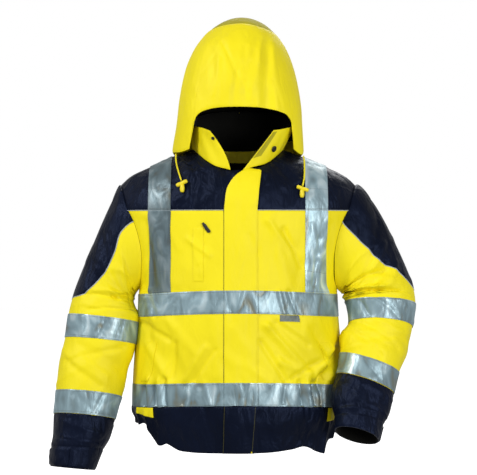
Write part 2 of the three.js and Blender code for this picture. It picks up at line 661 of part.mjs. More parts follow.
const flapHemTurns = flapColumns.map(turnOf);
const flapHemOptions = { sign: -1, stepU: 0.2, stepV: 0.01 };
const flapHem = hemParts.map((part) => flapHemTurns.map((turn) => [turn, 0.004 + part * 0.992]));
addWall("storm_flap_hem", "navy", hemPoint, flapHem, 0.5, 0.5 + flapThickness, flapHemOptions);

// Reflective tapes on the trunk: two bands round it, and braces from the chest band over the shoulders.
const overFlap = tapeLift + flapThickness + tapeLift;
const bands = { chest: [-367, -317], hem: [-566.7, -517] };
for (const [bandName, [low, high]] of Object.entries(bands)) {
  const levels = levelsBetween(low, high);
  for (const [name, side] of [["right", -1], ["left", 1]]) {
    const first = side < 0 ? columnOf(30) : columnOf(42);
    const grid = trunkGrid(side, true, columnsBetween(first, lastColumn), levels);
    for (const row of grid) row[0][0] += side * 0.12;
    addWall(bandName + "_tape_" + name, "tape", trunkPoint, grid, tapeLift, tapeLift + tapeThickness, outward);
  }
  addWall(bandName + "_tape_back", "tape", trunkPoint, backGrid(everyColumn, levels), tapeLift, tapeLift + tapeThickness, outward);
  const flapGrid = levels.map((z) =>
    flapColumns.map((x) => [x, z - yokeSeamZ]),
  );
  addWall(bandName + "_tape_flap", "tape", frontChart, flapGrid, overFlap, overFlap + tapeThickness, { stepU: 0.3, stepV: 0.3 });
}

const braceColumns = columnsBetween(columnOf(147), columnOf(197));
const braceRows = yokeRows.map((row) => yokeGap / clothPerRadian + row * (Math.PI / 2 - yokeGap / clothPerRadian - 0.0012));
for (const [name, side] of [["right", -1], ["left", 1]]) {
  const levels = levelsBetween(-317, -137).map((z) => (z < -316 ? z + 0.3 : z));
  const front = trunkGrid(side, true, braceColumns, levels);
  addWall("brace_front_" + name, "tape", trunkPoint, front, tapeLift, tapeLift + tapeThickness, outward);
  const rear = trunkGrid(side, false, braceColumns, levels);
  addWall("brace_back_" + name, "tape", trunkPoint, rear, tapeLift, tapeLift + tapeThickness, outward);
  const arches = [...braceRows, ...braceRows.slice().reverse().map((arch) => Math.PI - arch)];
  const over = arches.map((arch) => [147, 172, 197].map((x) => [side * x, arch]));
  addWall("brace_shoulder_" + name, "tape", yokePoint, over, tapeLift, tapeLift + tapeThickness, yokeOptions);
}

// Sleeves: the dark shoulder panel with its pointed end, the upper sleeve round it, the lower sleeve and the cuff.
const upperRows = [0.02, 0.4, 1, 1.7, 2.4, 3, 3.6, 4.2, 5];
const plainRows = [5.6, 6, 6.5, 7, 7.6, 8.3, 9, 9.5, 9.994];
const aroundShares = Array.from({ length: 19 }, (_, i) => i / 18);
for (const [name, sleeve] of Object.entries(sleeves)) {
  const surface = (around, t) => sleevePoint(name, around, t);
  const options = { sign: sleeve.side, stepU: 0.5, stepV: 0.01 };
  const spreadAt = (t) => (t < sleeve.tipAt ? track(sleeve.panel, "t", "spread", t) : 0);

  const sleeveGrid = [...upperRows, sleeve.tipAt, ...plainRows].map((t) => {
    const spread = spreadAt(t);
    return aroundShares.map((share) => [spread + share * (360 - 2 * spread), t]);
  });
  addWall("sleeve_" + name, "yellow", surface, sleeveGrid, -clothThickness, 0, options);

  const lastRow = 5 + 0.86 * (sleeve.tipAt - 5);
  const panelGrid = [...upperRows, lastRow].map((t) => {
    const spread = (t === lastRow ? 0.12 * spreadAt(5) : spreadAt(t)) - 0.6;
    return aroundShares.slice(0, 9).map((_, i) => [-spread + (i / 8) * 2 * spread, t]);
  });
  addWall("sleeve_panel_" + name, "navy", surface, panelGrid, -clothThickness, 0, options);

  const ring = (rows) => rows.map((t) => aroundShares.map((share) => [share * 360, t]));
  addWall("lower_sleeve_" + name, "navy", surface, ring([10.004, 10.6, 11.3, 11.994]), -clothThickness, 0, options);
  addWall("cuff_" + name, "navy", surface, ring([12.004, 12.5, 13]), -clothThickness, 0, options);
  addWall("sleeve_tape_upper_" + name, "tape", surface, ring([6, 6.5, 7]), tapeLift, tapeLift + tapeThickness, options);
  addWall("sleeve_tape_lower_" + name, "tape", surface, ring([9, 9.5, 9.994]), tapeLift, tapeLift + tapeThickness, options);

  const tabTurns = name === "right" ? [-80, -60, -40, -20, 0, 20, 40, 60, 80] : [-100, -80, -60, -40, -20, 0];
  const tabGrid = [12.1, 12.5, 12.92].map((t) => tabTurns.map((turn) => [turn, t]));
  addWall("cuff_tab_" + name, "navy", surface, tabGrid, 0.5, 2.5, options);
}

// Collar in two layers, the neck tape inside it at the back, and the two press studs.
const collarTurns = Array.from({ length: 29 }, (_, i) => i / 2);
const collarHeights = [0, 0.33, 0.66, 1];
const collarOptions = { sign: -1, stepU: 0.05, stepV: 0.02 };
const collarGrid = collarHeights.map((height) => collarTurns.map((u) => [u, height]));
addWall("collar", "yellow", collarPoint, collarGrid, -1.6, 0, collarOptions);
const liningGrid = [0.02, 0.33, 0.66, 0.98].map((height) => collarTurns.map((u) => [u, height]));
addWall("collar_lining", "lining", collarPoint, liningGrid, -3.8, -2, collarOptions);
const neckTapeGrid = [-0.09, 0.02, 0.13].map((height) => collarTurns.slice(12, 17).map((u) => [u, height]));
addWall("neck_tape", "olive", collarPoint, neckTapeGrid, -5.2, -4.2, collarOptions);

// A turned part: rings of points along an axis, with a flat at each end.
function turned(base, axis, profile, count) {
  const along = axis.clone().normalize();
  const helper = Math.abs(along.x) < 0.8 ? vec(1, 0, 0) : vec(0, 0, 1);
  const across = helper.cross(along).normalize();
  const other = along.clone().cross(across);
  const rings = profile.map(([height, radius]) =>
    Array.from({ length: count }, (_, k) => {
      const angle = (k / count) * 2 * Math.PI;
      const point = base.clone().addScaledVector(along, height);
      return point.addScaledVector(across, radius * Math.cos(angle)).addScaledVector(other, radius * Math.sin(angle));
    }),
  );
  return closedRings(rings);
}

// A solid from rings of points, closed at both ends.
function closedRings(rings) {
  const corners = [];
  const count = rings[0].length;
  for (let i = 0; i + 1 < rings.length; i += 1) {
    for (let k = 0; k < count; k += 1) {
      const next = (k + 1) % count;
      corners.push(rings[i][k], rings[i][next], rings[i + 1][next]);
      corners.push(rings[i][k], rings[i + 1][next], rings[i + 1][k]);
    }
  }
  for (let k = 1; k + 1 < count; k += 1) {
    const end = rings[rings.length - 1];
    corners.push(rings[0][0], rings[0][k + 1], rings[0][k]);
    corners.push(end[0], end[k], end[k + 1]);
  }
  return solidFrom(corners);
}

// Joins two solids into one.
function joined(first, second) {
  const solids = [first, second].map((geometry) => {
    const welded = mergeVertices(geometry.clone().deleteAttribute("normal"), 1e-4);
    const vertProperties = welded.attributes.position.array;
    const triVerts = new Uint32Array(welded.index.array);
    return new wasm.Manifold(new wasm.Mesh({ numProp: 3, vertProperties, triVerts }));
  });
  const mesh = solids[0].add(solids[1]).getMesh();
  const corners = Array.from(mesh.triVerts, (i) => vec(...mesh.vertProperties.slice(3 * i, 3 * i + 3)));
  return solidFrom(corners);
}

const studs = [
  { name: "stud_right", u: 0.22, height: 0.86, radius: 3.2, lift: 0.8 },
  { name: "stud_left", u: 13.05, height: 0.52, radius: 6, lift: 1.7 },
];
for (const stud of studs) {
  const normal = normalOf(collarPoint, stud.u, stud.height, 0.05, 0.02, -1);
  const base = collarPoint(stud.u, stud.height).addScaledVector(normal, stud.lift);
  const profile = [[0, stud.radius], [1.2, stud.radius], [2, stud.radius * 0.7]];
  add(stud.name, turned(base, normal, profile, 16), "black");
}

// Hood: the front and sides in one piece, the crown, the back, and a dark lining inside.
const hoodTurns = [
  -100, -90, -78, -65, -54, -44, -41, -36, -28, -20, -10, 0, 10, 20, 30, 40, 48, 52, 55, 63, 72, 81, 90, 100,
];
const backTurns = [100.15, 116, 132, 148, 164, 180, 196, 212, 228, 244, 259.85];
const wrap = (turn) => (turn > 180 ? turn - 360 : turn);
const hoodRows = [0, 0.14, 0.3, 0.46, 0.62, 0.76, 0.88, 0.95, 0.999];
const hoodOptions = { sign: 1, stepU: 0.5, stepV: 0.004 };
addWall("hood", "yellow", hoodPart, hoodRows.map((part) => hoodTurns.map((turn) => [turn, part])), -2.6, 0, hoodOptions);
const aroundBack = (turn, part) => hoodPart(wrap(turn), part);
addWall("hood_back", "yellow", aroundBack, hoodRows.map((part) => backTurns.map((turn) => [turn, part])), -2.6, 0, hoodOptions);

const crownTurns = Array.from({ length: 25 }, (_, i) => -180 + i * 15);
const crownRows = [0.012, 0.3, 0.6, 0.85];
function crownFace(level) {
  const rows = crownRows.map((part) =>
    crownTurns.map((turn, i) => {
      const use = i === 24 ? -180 : turn;
      const normal = normalOf(crownPart, use, part, 0.5, 0.004, 1);
      return crownPart(use, part).addScaledVector(normal, level);
    }),
  );
  rows.push(crownTurns.map(() => vec(8, 14, 300 + level)));
  return rows;
}
add("hood_crown", wallGeometry(crownFace(-0.8), crownFace(-3.4)), "olive");

const inside = (level) => {
  const rows = [0, 0.3, 0.62, 0.88].map((part) =>
    crownTurns.map((turn, i) => {
      const use = i === 24 ? -180 : turn;
      const low = track(hoodEdge, "turn", "z", use) + 40;
      const high = track(crownSeam, "turn", "z", use);
      const z = low + (high - low) * part;
      const normal = normalOf(hoodPoint, use, z, 0.5, 0.5, 1);
      return hoodPoint(use, z).addScaledVector(normal, level);
    }),
  );
  for (const part of [0.3, 0.7]) {
    rows.push(
      crownTurns.map((turn, i) => {
        const use = i === 24 ? -180 : turn;
        const normal = normalOf(crownPart, use, part, 0.5, 0.004, 1);
        return crownPart(use, part).addScaledVector(normal, level);
      }),
    );
  }
  rows.push(crownTurns.map(() => vec(8, 14, 300 + level)));
  return rows;
};
add("hood_lining", wallGeometry(inside(-6), inside(-7.2)), "lining");

// Drawcords: a round cord through a few places, then a barrel lock across it, then a bell-shaped end.
const cordRadius = 1.75;
const cordRows = {
  right: [
    { x: -138, y: -58, z: -12.5 },
    { x: -137.5, y: -70, z: -24 },
    { x: -135, y: -84, z: -38 },
    { x: -130, y: -101, z: -55 },
    { x: -124, y: -118, z: -72.4 },
  ],
  left: [
    { x: 145, y: -62, z: -17 },
    { x: 146.5, y: -76, z: -30 },
    { x: 146.5, y: -88, z: -45 },
    { x: 145.5, y: -103, z: -63 },
    { x: 141.2, y: -118, z: -84.2 },
  ],
};
const locks = {
  right: { from: vec(-135, -122, -84), to: vec(-111, -122, -73), bell: vec(-121.8, -122.4, -80.6), down: vec(0, -0.12, -1) },
  left: { from: vec(128, -122, -85.5), to: vec(154, -122, -94.5), bell: vec(139.8, -122.4, -92), down: vec(-0.02, -0.12, -1) },
};
for (const [name, rows] of Object.entries(cordRows)) {
  const path = new THREE.CatmullRomCurve3(rows.map((row) => vec(row.x, row.y, row.z)));
  const rings = [];
  const count = 8;
  for (let i = 0; i <= count; i += 1) {
    const centre = path.getPointAt(i / count);
    const along = path.getTangentAt(i / count);
    const across = vec(1, 0, 0).cross(along).normalize();
    const other = along.clone().cross(across);
    rings.push(
      Array.from({ length: 6 }, (_, k) => {
        const angle = (k / 6) * 2 * Math.PI;
        const point = centre.clone().addScaledVector(across, cordRadius * Math.cos(angle));
        return point.addScaledVector(other, cordRadius * Math.sin(angle));
      }),
    );
  }
  add("drawcord_" + name, closedRings(rings), "yellow");
  const lock = locks[name];
  const bar = lock.to.clone().sub(lock.from);
  const length = bar.length();
  const barProfile = [[0, 3.4], [1.2, 4.4], [length - 1.2, 4.4], [length, 3.4]];
  const bellProfile = [[0, 3.2], [3, 4.6], [9, 5.2], [15, 4.6], [18, 2.6]];
  const barrel = turned(lock.from, bar, barProfile, 8);
  add("cord_lock_" + name, joined(barrel, turned(lock.bell, lock.down, bellProfile, 8)), "yellow");
}

// Small pieces of the trunk: the chest pocket's cover strip, side pocket strips, their ends below the tape, and a tab.
const chartOptions = { stepU: 0.3, stepV: 0.3 };
const strip = (xs, zs) => zs.map((z) => xs.map((x) => [x, z - yokeSeamZ]));
addWall("chest_pocket_welt", "yellow", frontChart, strip([-98, -75], [-296, -280, -250, -215, -176]), 0.4, 1.6, chartOptions);
addWall("id_tab", "tape", frontChart, strip([90, 98, 122, 133], [-388, -374.5]), 0.4, 1.2, chartOptions);

const pocketRows = [
  { z: -510, x: 215 },
  { z: -498, x: 212.5 },
  { z: -480, x: 208.5 },
  { z: -460, x: 205 },
  { z: -440, x: 202 },
  { z: -424, x: 199 },
];
for (const [name, side] of [["right", -1], ["left", 1]]) {
  const grid = pocketRows.map(({ z, x }) => [x - 20, x - 10, x].map((place) => [side * place, z - yokeSeamZ]));
  addWall("pocket_welt_" + name, "yellow", frontChart, grid, 1, 2.2, chartOptions);
  const ends = side < 0 ? [-71, -68.8, -65.34, -61.88, -58.42, -54.96, -52] : [57, 58.42, 61.88, 65.34];
  const endGrid = [0.02, 0.2, 0.32].map((part) => ends.map((turn) => [turn, part]));
  addWall("pocket_end_" + name, "yellow", hemPoint, endGrid, 1, 2.2, hemOptions);
}

// Chest pocket zip: the slider at the top of the welt, and the pull tab that hangs from it.
const pullTilt = toRadians(36);
const hinge = frontChart(-75, -168 - yokeSeamZ).add(vec(0, -4.2, 0));
const block = (width, depth, height, place, tilt) => {
  const geometry = new THREE.BoxGeometry(width, depth, height);
  geometry.rotateY(-tilt);
  geometry.translate(place.x, place.y, place.z);
  return geometry;
};
const alongPull = vec(Math.sin(pullTilt), 0, -Math.cos(pullTilt));
add("zip_slider", block(8, 3, 9, hinge.clone().add(vec(-2, 0.6, 2)).addScaledVector(alongPull, -6), 0), "black");
add("zip_pull", block(8, 2.2, 22, hinge.clone().addScaledVector(alongPull, 11.5), pullTilt), "black");

export default jacket;
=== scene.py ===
import math
import bpy
import numpy as np
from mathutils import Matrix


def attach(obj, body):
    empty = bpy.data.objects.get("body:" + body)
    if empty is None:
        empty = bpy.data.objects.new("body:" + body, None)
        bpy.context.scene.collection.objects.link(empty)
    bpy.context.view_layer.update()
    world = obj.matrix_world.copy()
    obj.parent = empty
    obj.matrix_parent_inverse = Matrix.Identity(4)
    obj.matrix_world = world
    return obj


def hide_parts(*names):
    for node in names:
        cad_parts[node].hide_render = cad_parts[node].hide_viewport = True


# A padded high-visibility work jacket in its worn, hollow form. Shapes are worked out in millimetres and
# put into the meshes in metres. Front is -Y, the wearer's left is +X.
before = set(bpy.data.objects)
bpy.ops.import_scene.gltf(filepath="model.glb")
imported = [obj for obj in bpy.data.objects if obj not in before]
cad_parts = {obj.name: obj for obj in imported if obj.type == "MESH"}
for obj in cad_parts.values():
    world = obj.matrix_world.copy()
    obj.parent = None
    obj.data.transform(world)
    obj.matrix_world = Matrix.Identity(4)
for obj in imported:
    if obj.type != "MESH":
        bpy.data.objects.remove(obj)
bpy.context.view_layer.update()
random = np.random.default_rng(11)
mm = 0.001
sides = (("right", -1), ("left", 1))


# Eases from 0 at start to 1 at end: three times the square of the way gone, less twice its cube.
def smooth(start, end, value):
    t = np.clip((value - start) / (end - start), 0, 1)
    return t * t * (3 - 2 * t)


# Curve through table rows: cubic pieces, whose slope at a row is the harmonic mean of the slopes beside it.
def track(places, values, at):
    places, values = np.asarray(places, float), np.asarray(values, float)
    step = np.diff(places)
    slope = np.diff(values) / step
    before = np.concatenate([slope[:1], slope])
    after = np.concatenate([slope, slope[-1:]])
    alike = before * after > 0
    bend = np.where(alike, 2 * before * after / np.where(alike, before + after, 1), 0)
    at = np.clip(at, places[0], places[-1])
    i = np.clip(np.searchsorted(places, at, side="right") - 1, 0, len(step) - 1)
    t = (at - places[i]) / step[i]
    ends = (2 * t**3 - 3 * t**2 + 1) * values[i] + (3 * t**2 - 2 * t**3) * values[i + 1]
    return ends + step[i] * ((t**3 - 2 * t**2 + t) * bend[i] + (t**3 - t**2) * bend[i + 1])


def column(table, number):
    return np.array([row[number] for row in table], float)


# The curve through one column of a table, at places along its first column.
def lookUp(table, number, at):
    return track(column(table, 0), column(table, number), at)


# Vectors of length one.
def unit(vectors):
    return vectors / np.linalg.norm(vectors, axis=-1, keepdims=True)


# A power of the size of a number, with the sign of the number.
def signedPower(value, power):
    return np.sign(value) * np.abs(value) ** power


# A new object in the scene.
def addObject(name, data):
    thing = bpy.data.objects.new(name, data)
    bpy.context.scene.collection.objects.link(thing)
    return thing


camera = dict(distance=4.0, aimX=0.001, aimZ=-0.197, frameWidth=1.0733, sensor=36)
cameraData = bpy.data.cameras.new("photoCamera")
cameraData.sensor_width = camera["sensor"]
cameraData.lens = camera["sensor"] * camera["distance"] / camera["frameWidth"]
cameraData.clip_end = 50
cameraObject = addObject("photoCamera", cameraData)
cameraObject.location = (camera["aimX"], -camera["distance"], camera["aimZ"])
cameraObject.rotation_euler = (math.pi / 2, 0, 0)
bpy.context.scene.camera = cameraObject
print("camera set")


# Gives a node its inputs: the output of another node is joined on, and any other value is written in.
def setInputs(tree, node, inputs):
    for label, value in inputs.items():
        if isinstance(value, bpy.types.NodeSocket):
            tree.links.new(value, node.inputs[label])
        else:
            node.inputs[label].default_value = value


def addNode(tree, kind, inputs=None, **settings):
    node = tree.nodes.new(kind)
    for key, value in settings.items():
        setattr(node, key, value)
    setInputs(tree, node, inputs or {})
    return node


def mathNode(tree, operation, *values):
    return addNode(tree, "ShaderNodeMath", dict(enumerate(values)), operation=operation).outputs[0]


def useGroup(tree, group, **values):
    return addNode(tree, "ShaderNodeGroup", values, node_tree=group).outputs[0]


def addBump(tree, height, strength, distance, under=None):
    inputs = {"Strength": strength, "Distance": distance, "Height": height}
    if under is not None:
        inputs["Normal"] = under
    return addNode(tree, "ShaderNodeBump", inputs).outputs["Normal"]


# A shader group with a vector and some numbers going in, and one number coming out.
def newGroup(name, inputs, output):
    group = bpy.data.node_groups.new(name, "ShaderNodeTree")
    group.interface.new_socket("Vector", in_out="INPUT", socket_type="NodeSocketVector")
    for label, value in inputs.items():
        group.interface.new_socket(label, in_out="INPUT", socket_type="NodeSocketFloat").default_value = value
    group.interface.new_socket(output, in_out="OUTPUT", socket_type="NodeSocketFloat")
    given = group.nodes.new("NodeGroupInput").outputs
    return group, given, group.nodes.new("NodeGroupOutput").inputs[output]


# Plain weave: the product of two sine waves, one along each direction of the cloth, as a height.
def makeWeaveGroup():
    group, given, result = newGroup("plainWeave", {"Threads": 1400.0}, "Height")
    parts = addNode(group, "ShaderNodeSeparateXYZ", {0: given["Vector"]}).outputs
    waves = [mathNode(group, "SINE", mathNode(group, "MULTIPLY", parts[axis], given["Threads"])) for axis in "XY"]
    group.links.new(mathNode(group, "MULTIPLY", *waves), result)
    return group


# Soft wrinkles: two sizes of stretched noise added together, as a height.
def makeWrinkleGroup():
    group, given, result = newGroup("softWrinkles", {"Scale": 14.0}, "Height")
    turn = {"Rotation": (0.3, 0.5, 0.9), "Scale": (1.0, 1.0, 0.42), "Vector": given["Vector"]}
    turned = addNode(group, "ShaderNodeMapping", turn).outputs[0]
    sizes = []
    for factor, detail in ((1.0, 2.0), (3.4, 3.0)):
        scale = mathNode(group, "MULTIPLY", given["Scale"], factor)
        noise = {"Detail": detail, "Roughness": 0.45, "Distortion": 0.6, "Vector": turned, "Scale": scale}
        sizes.append(addNode(group, "ShaderNodeTexNoise", noise).outputs["Fac"])
    fine = mathNode(group, "MULTIPLY", sizes[1], 0.35)
    group.links.new(mathNode(group, "ADD", sizes[0], fine), result)
    return group


# Half the width of the thread in metres, and the part of the pitch that a stitch takes up.
stitchLook = dict(halfWidth=0.00045, dash=0.68)


# Rows of stitches: 1 where the cloth lies on a row at a given distance from either edge, broken into dashes.
def makeStitchGroup():
    group, given, result = newGroup("stitchRows", {"Width": 0.05, "Inset": 0.003, "Pitch": 0.0034}, "Mask")
    parts = addNode(group, "ShaderNodeSeparateXYZ", {0: given["Vector"]}).outputs
    half = mathNode(group, "MULTIPLY", given["Width"], 0.5)
    fromMiddle = mathNode(group, "ABSOLUTE", mathNode(group, "SUBTRACT", parts["Y"], half))
    row = mathNode(group, "SUBTRACT", half, given["Inset"])
    near = mathNode(group, "ABSOLUTE", mathNode(group, "SUBTRACT", fromMiddle, row))
    onRow = mathNode(group, "LESS_THAN", near, stitchLook["halfWidth"])
    turns = mathNode(group, "FRACT", mathNode(group, "DIVIDE", parts["X"], given["Pitch"]))
    dash = mathNode(group, "LESS_THAN", turns, stitchLook["dash"])
    group.links.new(mathNode(group, "MULTIPLY", onRow, dash), result)
    return group


# Streaks: noise drawn out along one slanted direction, as brightness runs along the creases of a foil; on the tape it
# sets painted highlights and painted shade.
def makeStreakGroup():
    group, given, result = newGroup("slantedStreaks", {"Scale": 24.0}, "Height")
    turn = {"Rotation": (0.0, 0.75, 0.0), "Scale": (1.0, 0.5, 0.42), "Vector": given["Vector"]}
    turned = addNode(group, "ShaderNodeMapping", turn).outputs[0]
    noise = {"Detail": 2.5, "Distortion": 1.1, "Vector": turned, "Scale": given["Scale"]}
    group.links.new(addNode(group, "ShaderNodeTexNoise", noise).outputs["Fac"], result)
    return group


weaveGroup = makeWeaveGroup()
wrinkleGroup = makeWrinkleGroup()
stitchGroup = makeStitchGroup()
streakGroup = makeStreakGroup()


# A new material: its tree, its shader and the outputs of its texture coordinates.
def newMaterial(name, constants):
    material = bpy.data.materials.new(name)
    material.use_nodes = True
    tree = material.node_tree
    shader = tree.nodes["Principled BSDF"]
    setInputs(tree, shader, constants)
    return material, tree, shader, addNode(tree, "ShaderNodeTexCoord").outputs


# Colour that drifts between two shades with a slow noise.
def driftColour(tree, vector, look, scale):
    noise = addNode(tree, "ShaderNodeTexNoise", {"Scale": scale, "Detail": 4, "Vector": vector})
    ramp = addNode(tree, "ShaderNodeValToRGB", {"Fac": noise.outputs["Fac"]})
    for element, place, shade in zip(ramp.color_ramp.elements, (0.35, 0.65), (look["dark"], look["light"])):
        element.position = place
        element.color = (*shade, 1)
    return ramp.outputs["Color"]


clothLooks = {
    "yellowCloth": dict(
        light=(0.90, 0.765, 0.004), dark=(0.85, 0.715, 0.003), roughness=0.55, sheen=0.0, gloss=0.3, threads=5200,
        weave=0.2, wrinkle=0.55, depth=0.009,
    ),
    "shadedYellow": dict(
        light=(0.50, 0.44, 0.014), dark=(0.34, 0.30, 0.014), roughness=0.65, sheen=0.0, gloss=0.2, threads=5200,
        weave=0.2, wrinkle=0.5, depth=0.008,
    ),
    "navyCloth": dict(
        light=(0.0036, 0.0056, 0.0150), dark=(0.0018, 0.0028, 0.0072), roughness=0.38, sheen=0.0, gloss=0.2,
        threads=4200, weave=0.3, wrinkle=1.0, depth=0.02, tint=(0.36, 0.48, 0.9),
    ),
    "blackFleece": dict(
        light=(0.0065, 0.0065, 0.0055), dark=(0.0045, 0.0045, 0.004), roughness=0.95, sheen=0.1, gloss=0.1,
        threads=2600, weave=0.5, wrinkle=0.5, depth=0.006,
    ),
}


def makeCloth(name, look):
    material, tree, shader, places = newMaterial(name, {
        "Roughness": look["roughness"], "Sheen Weight": look["sheen"], "Sheen Roughness": 0.4,
        "Specular IOR Level": look["gloss"], "Specular Tint": (*look.get("tint", (1, 1, 1)), 1),
    })
    wrinkles = useGroup(tree, wrinkleGroup, Vector=places["Object"], Scale=13.0)
    weave = useGroup(tree, weaveGroup, Vector=places["UV"], Threads=float(look["threads"]))
    soft = addBump(tree, wrinkles, look["wrinkle"], look["depth"])
    fine = addBump(tree, weave, look["weave"], 0.0002, soft)
    setInputs(tree, shader, {"Base Color": driftColour(tree, places["Object"], look, 9), "Normal": fine})
    return material


# Reflective tape: grey-blue glass bead cloth with two rows of stitches, whose colour shifts in brightness along
# streaks: from olive painted shade, holding a painted reflection of the yellow cloth, to pale blue-white painted
# highlights.
tapeLook = dict(
    shades=[
        (0.3, (0.175, 0.185, 0.145)), (0.42, (0.19, 0.27, 0.30)), (0.55, (0.27, 0.385, 0.43)),
        (0.66, (0.44, 0.56, 0.60)), (0.78, (0.60, 0.70, 0.72)),
    ],
    streak=26.0, thread=(0.17, 0.20, 0.20), roughness=0.42, metallic=0.35,
)
# How bright each tape is beside that look: lit and shaded copies of one tape, as painted light and painted shade.
tapeLightAndShade = {"reflectiveTape": 1.0, "shadedTape": 0.5, "brightTape": 1.35}


def makeTape(name, look, lightFactor):
    constants = {"Roughness": look["roughness"], "Metallic": look["metallic"]}
    material, tree, shader, places = newMaterial(name, constants)
    streaks = useGroup(tree, streakGroup, Vector=places["Object"], Scale=look["streak"])
    # The streaks pick the colour from the ramp: painted shade at the dark end, painted highlights at the light end.
    ramp = addNode(tree, "ShaderNodeValToRGB", {"Fac": streaks})
    marks = ramp.color_ramp.elements
    for place, shade in look["shades"]:
        marks.new(place).color = (*[min(1, value * lightFactor) for value in shade], 1)
    for spare in (len(marks) - 1, 0):
        marks.remove(marks[spare])
    stitches = useGroup(tree, stitchGroup, Vector=places["UV"])
    mixed = {0: stitches, 6: ramp.outputs["Color"], 7: (*look["thread"], 1)}
    mix = addNode(tree, "ShaderNodeMix", mixed, data_type="RGBA")
    wrinkles = useGroup(tree, wrinkleGroup, Vector=places["Object"], Scale=30.0)
    beads = addNode(tree, "ShaderNodeTexVoronoi", {"Scale": 1400, "Vector": places["UV"]})
    creased = addBump(tree, streaks, 0.5, 0.008)
    soft = addBump(tree, wrinkles, 0.5, 0.005, creased)
    fine = addBump(tree, beads.outputs["Distance"], 0.15, 0.0002, soft)
    sewn = addBump(tree, stitches, 0.6, 0.0004, fine)
    setInputs(tree, shader, {"Base Color": mix.outputs[2], "Normal": sewn})
    return material


plasticLooks = {
    "blackPlastic": dict(light=(0.006, 0.006, 0.006), dark=(0.004, 0.004, 0.004), roughness=0.5),
    "yellowPlastic": dict(light=(0.85, 0.70, 0.01), dark=(0.78, 0.62, 0.01), roughness=0.42),
    "greyPiping": dict(light=(0.42, 0.45, 0.45), dark=(0.30, 0.33, 0.33), roughness=0.45),
    "greyTab": dict(light=(0.17, 0.20, 0.18), dark=(0.11, 0.13, 0.12), roughness=0.5),
    # The dark olive entry below serves stitch rows, and also the painted shadow under the storm flap's edge.
    "threadAndShadowLine": dict(light=(0.085, 0.080, 0.015), dark=(0.055, 0.052, 0.010), roughness=0.8),
    "yellowThread": dict(light=(0.80, 0.66, 0.01), dark=(0.62, 0.50, 0.01), roughness=0.7),
}


def makePlastic(name, look):
    material, tree, shader, places = newMaterial(name, {"Roughness": look["roughness"]})
    grain = addNode(tree, "ShaderNodeTexNoise", {"Scale": 1800, "Vector": places["Object"]})
    bump = addBump(tree, grain.outputs["Fac"], 0.2, 0.0002)
    setInputs(tree, shader, {"Base Color": driftColour(tree, places["Object"], look, 160), "Normal": bump})
    return material


# Braided cord: two sets of slanted strands over the round of the cord.
braidLook = dict(colour=(0.85, 0.72, 0.006), roughness=0.6, around=2300.0, along=1900.0)


def makeBraid(name, look):
    constants = {"Base Color": (*look["colour"], 1), "Roughness": look["roughness"]}
    material, tree, shader, places = newMaterial(name, constants)
    parts = addNode(tree, "ShaderNodeSeparateXYZ", {0: places["UV"]}).outputs
    around = mathNode(tree, "MULTIPLY", parts["X"], look["around"])
    along = mathNode(tree, "MULTIPLY", parts["Y"], look["along"])
    strands = [mathNode(tree, "SINE", mathNode(tree, way, around, along)) for way in ("ADD", "SUBTRACT")]
    setInputs(tree, shader, {"Normal": addBump(tree, mathNode(tree, "MAXIMUM", *strands), 0.6, 0.0004)})
    return material


materials = {name: makeCloth(name, look) for name, look in clothLooks.items()}
materials.update({name: makeTape(name, tapeLook, lightFactor) for name, lightFactor in tapeLightAndShade.items()})
materials.update({name: makePlastic(name, look) for name, look in plasticLooks.items()})
materials["braidedCord"] = makeBraid("braidedCord", braidLook)
print("materials made:", len(materials))


# Steps from one value to another, with a few close ones at both ends so that a seam can be rounded there.
def steps(start, end, count, edge=0.006):
    inner = np.linspace(3.5 * edge, 1 - 3.5 * edge, count)
    t = np.concatenate([[0, 0.5 * edge, 1.2 * edge, 2.2 * edge], inner, 1 - np.array([2.2, 1.2, 0.5, 0]) * edge])
    return start + (end - start) * t


# Outward normals of a grid of points: the cross product of its two directions, taken between neighbours.
def gridNormals(points, closed, sign):
    if closed:
        ring = np.concatenate([points[:, -2:-1], points, points[:, 1:2]], axis=1)
        alongU = ring[:, 2:] - ring[:, :-2]
    else:
        alongU = np.gradient(points, axis=1)
    alongV = np.gradient(points, axis=0)
    normals = np.cross(alongU, alongV)
    return sign * normals / np.maximum(np.linalg.norm(normals, axis=2, keepdims=True), 1e-9)


# Faces of a round piece: rings of points joined by quads, and closed at both ends.
def ringFaces(rings, count):
    index = np.arange(rings * count).reshape(rings, count)
    right = np.roll(index, -1, axis=1)
    quads = np.stack([index[:-1], right[:-1], right[1:], index[1:]], axis=-1).reshape(-1, 4)
    return quads.tolist() + [index[0][::-1].tolist(), index[-1].tolist()]


# Distance along the cloth of every grid point from the first row and column, in millimetres.
def clothLengths(points):
    across = np.linalg.norm(np.diff(points, axis=1), axis=2)
    down = np.linalg.norm(np.diff(points, axis=0), axis=2)
    u = np.concatenate([np.zeros((len(points), 1)), np.cumsum(across, axis=1)], axis=1)
    v = np.concatenate([np.zeros((1, points.shape[1])), np.cumsum(down, axis=0)], axis=0)
    return u, v


# A mesh with its UV map, slots and body, which takes the place of a node of the CAD if one is named.
def finishMesh(name, vertices, faces, uvs, slots, faceSlots=None, body="jacket", node=None):
    mesh = bpy.data.meshes.new(name)
    mesh.from_pydata((vertices * mm).tolist(), [], faces)
    layer = mesh.uv_layers.new(name="cloth")
    corners = np.zeros(len(mesh.loops), dtype=np.int32)
    mesh.loops.foreach_get("vertex_index", corners)
    layer.data.foreach_set("uv", (uvs[corners] * mm).astype(np.float32).ravel())
    for slot in slots:
        mesh.materials.append(materials[slot])
    if faceSlots is not None:
        mesh.polygons.foreach_set("material_index", np.asarray(faceSlots, dtype=np.int32))
    mesh.polygons.foreach_set("use_smooth", np.ones(len(mesh.polygons), dtype=bool))
    mesh.validate()
    mesh.update()
    mesh.set_sharp_from_angle(angle=math.radians(60))
    piece = addObject(name, mesh)
    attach(piece, body)
    if node:
        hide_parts(node)
    return piece


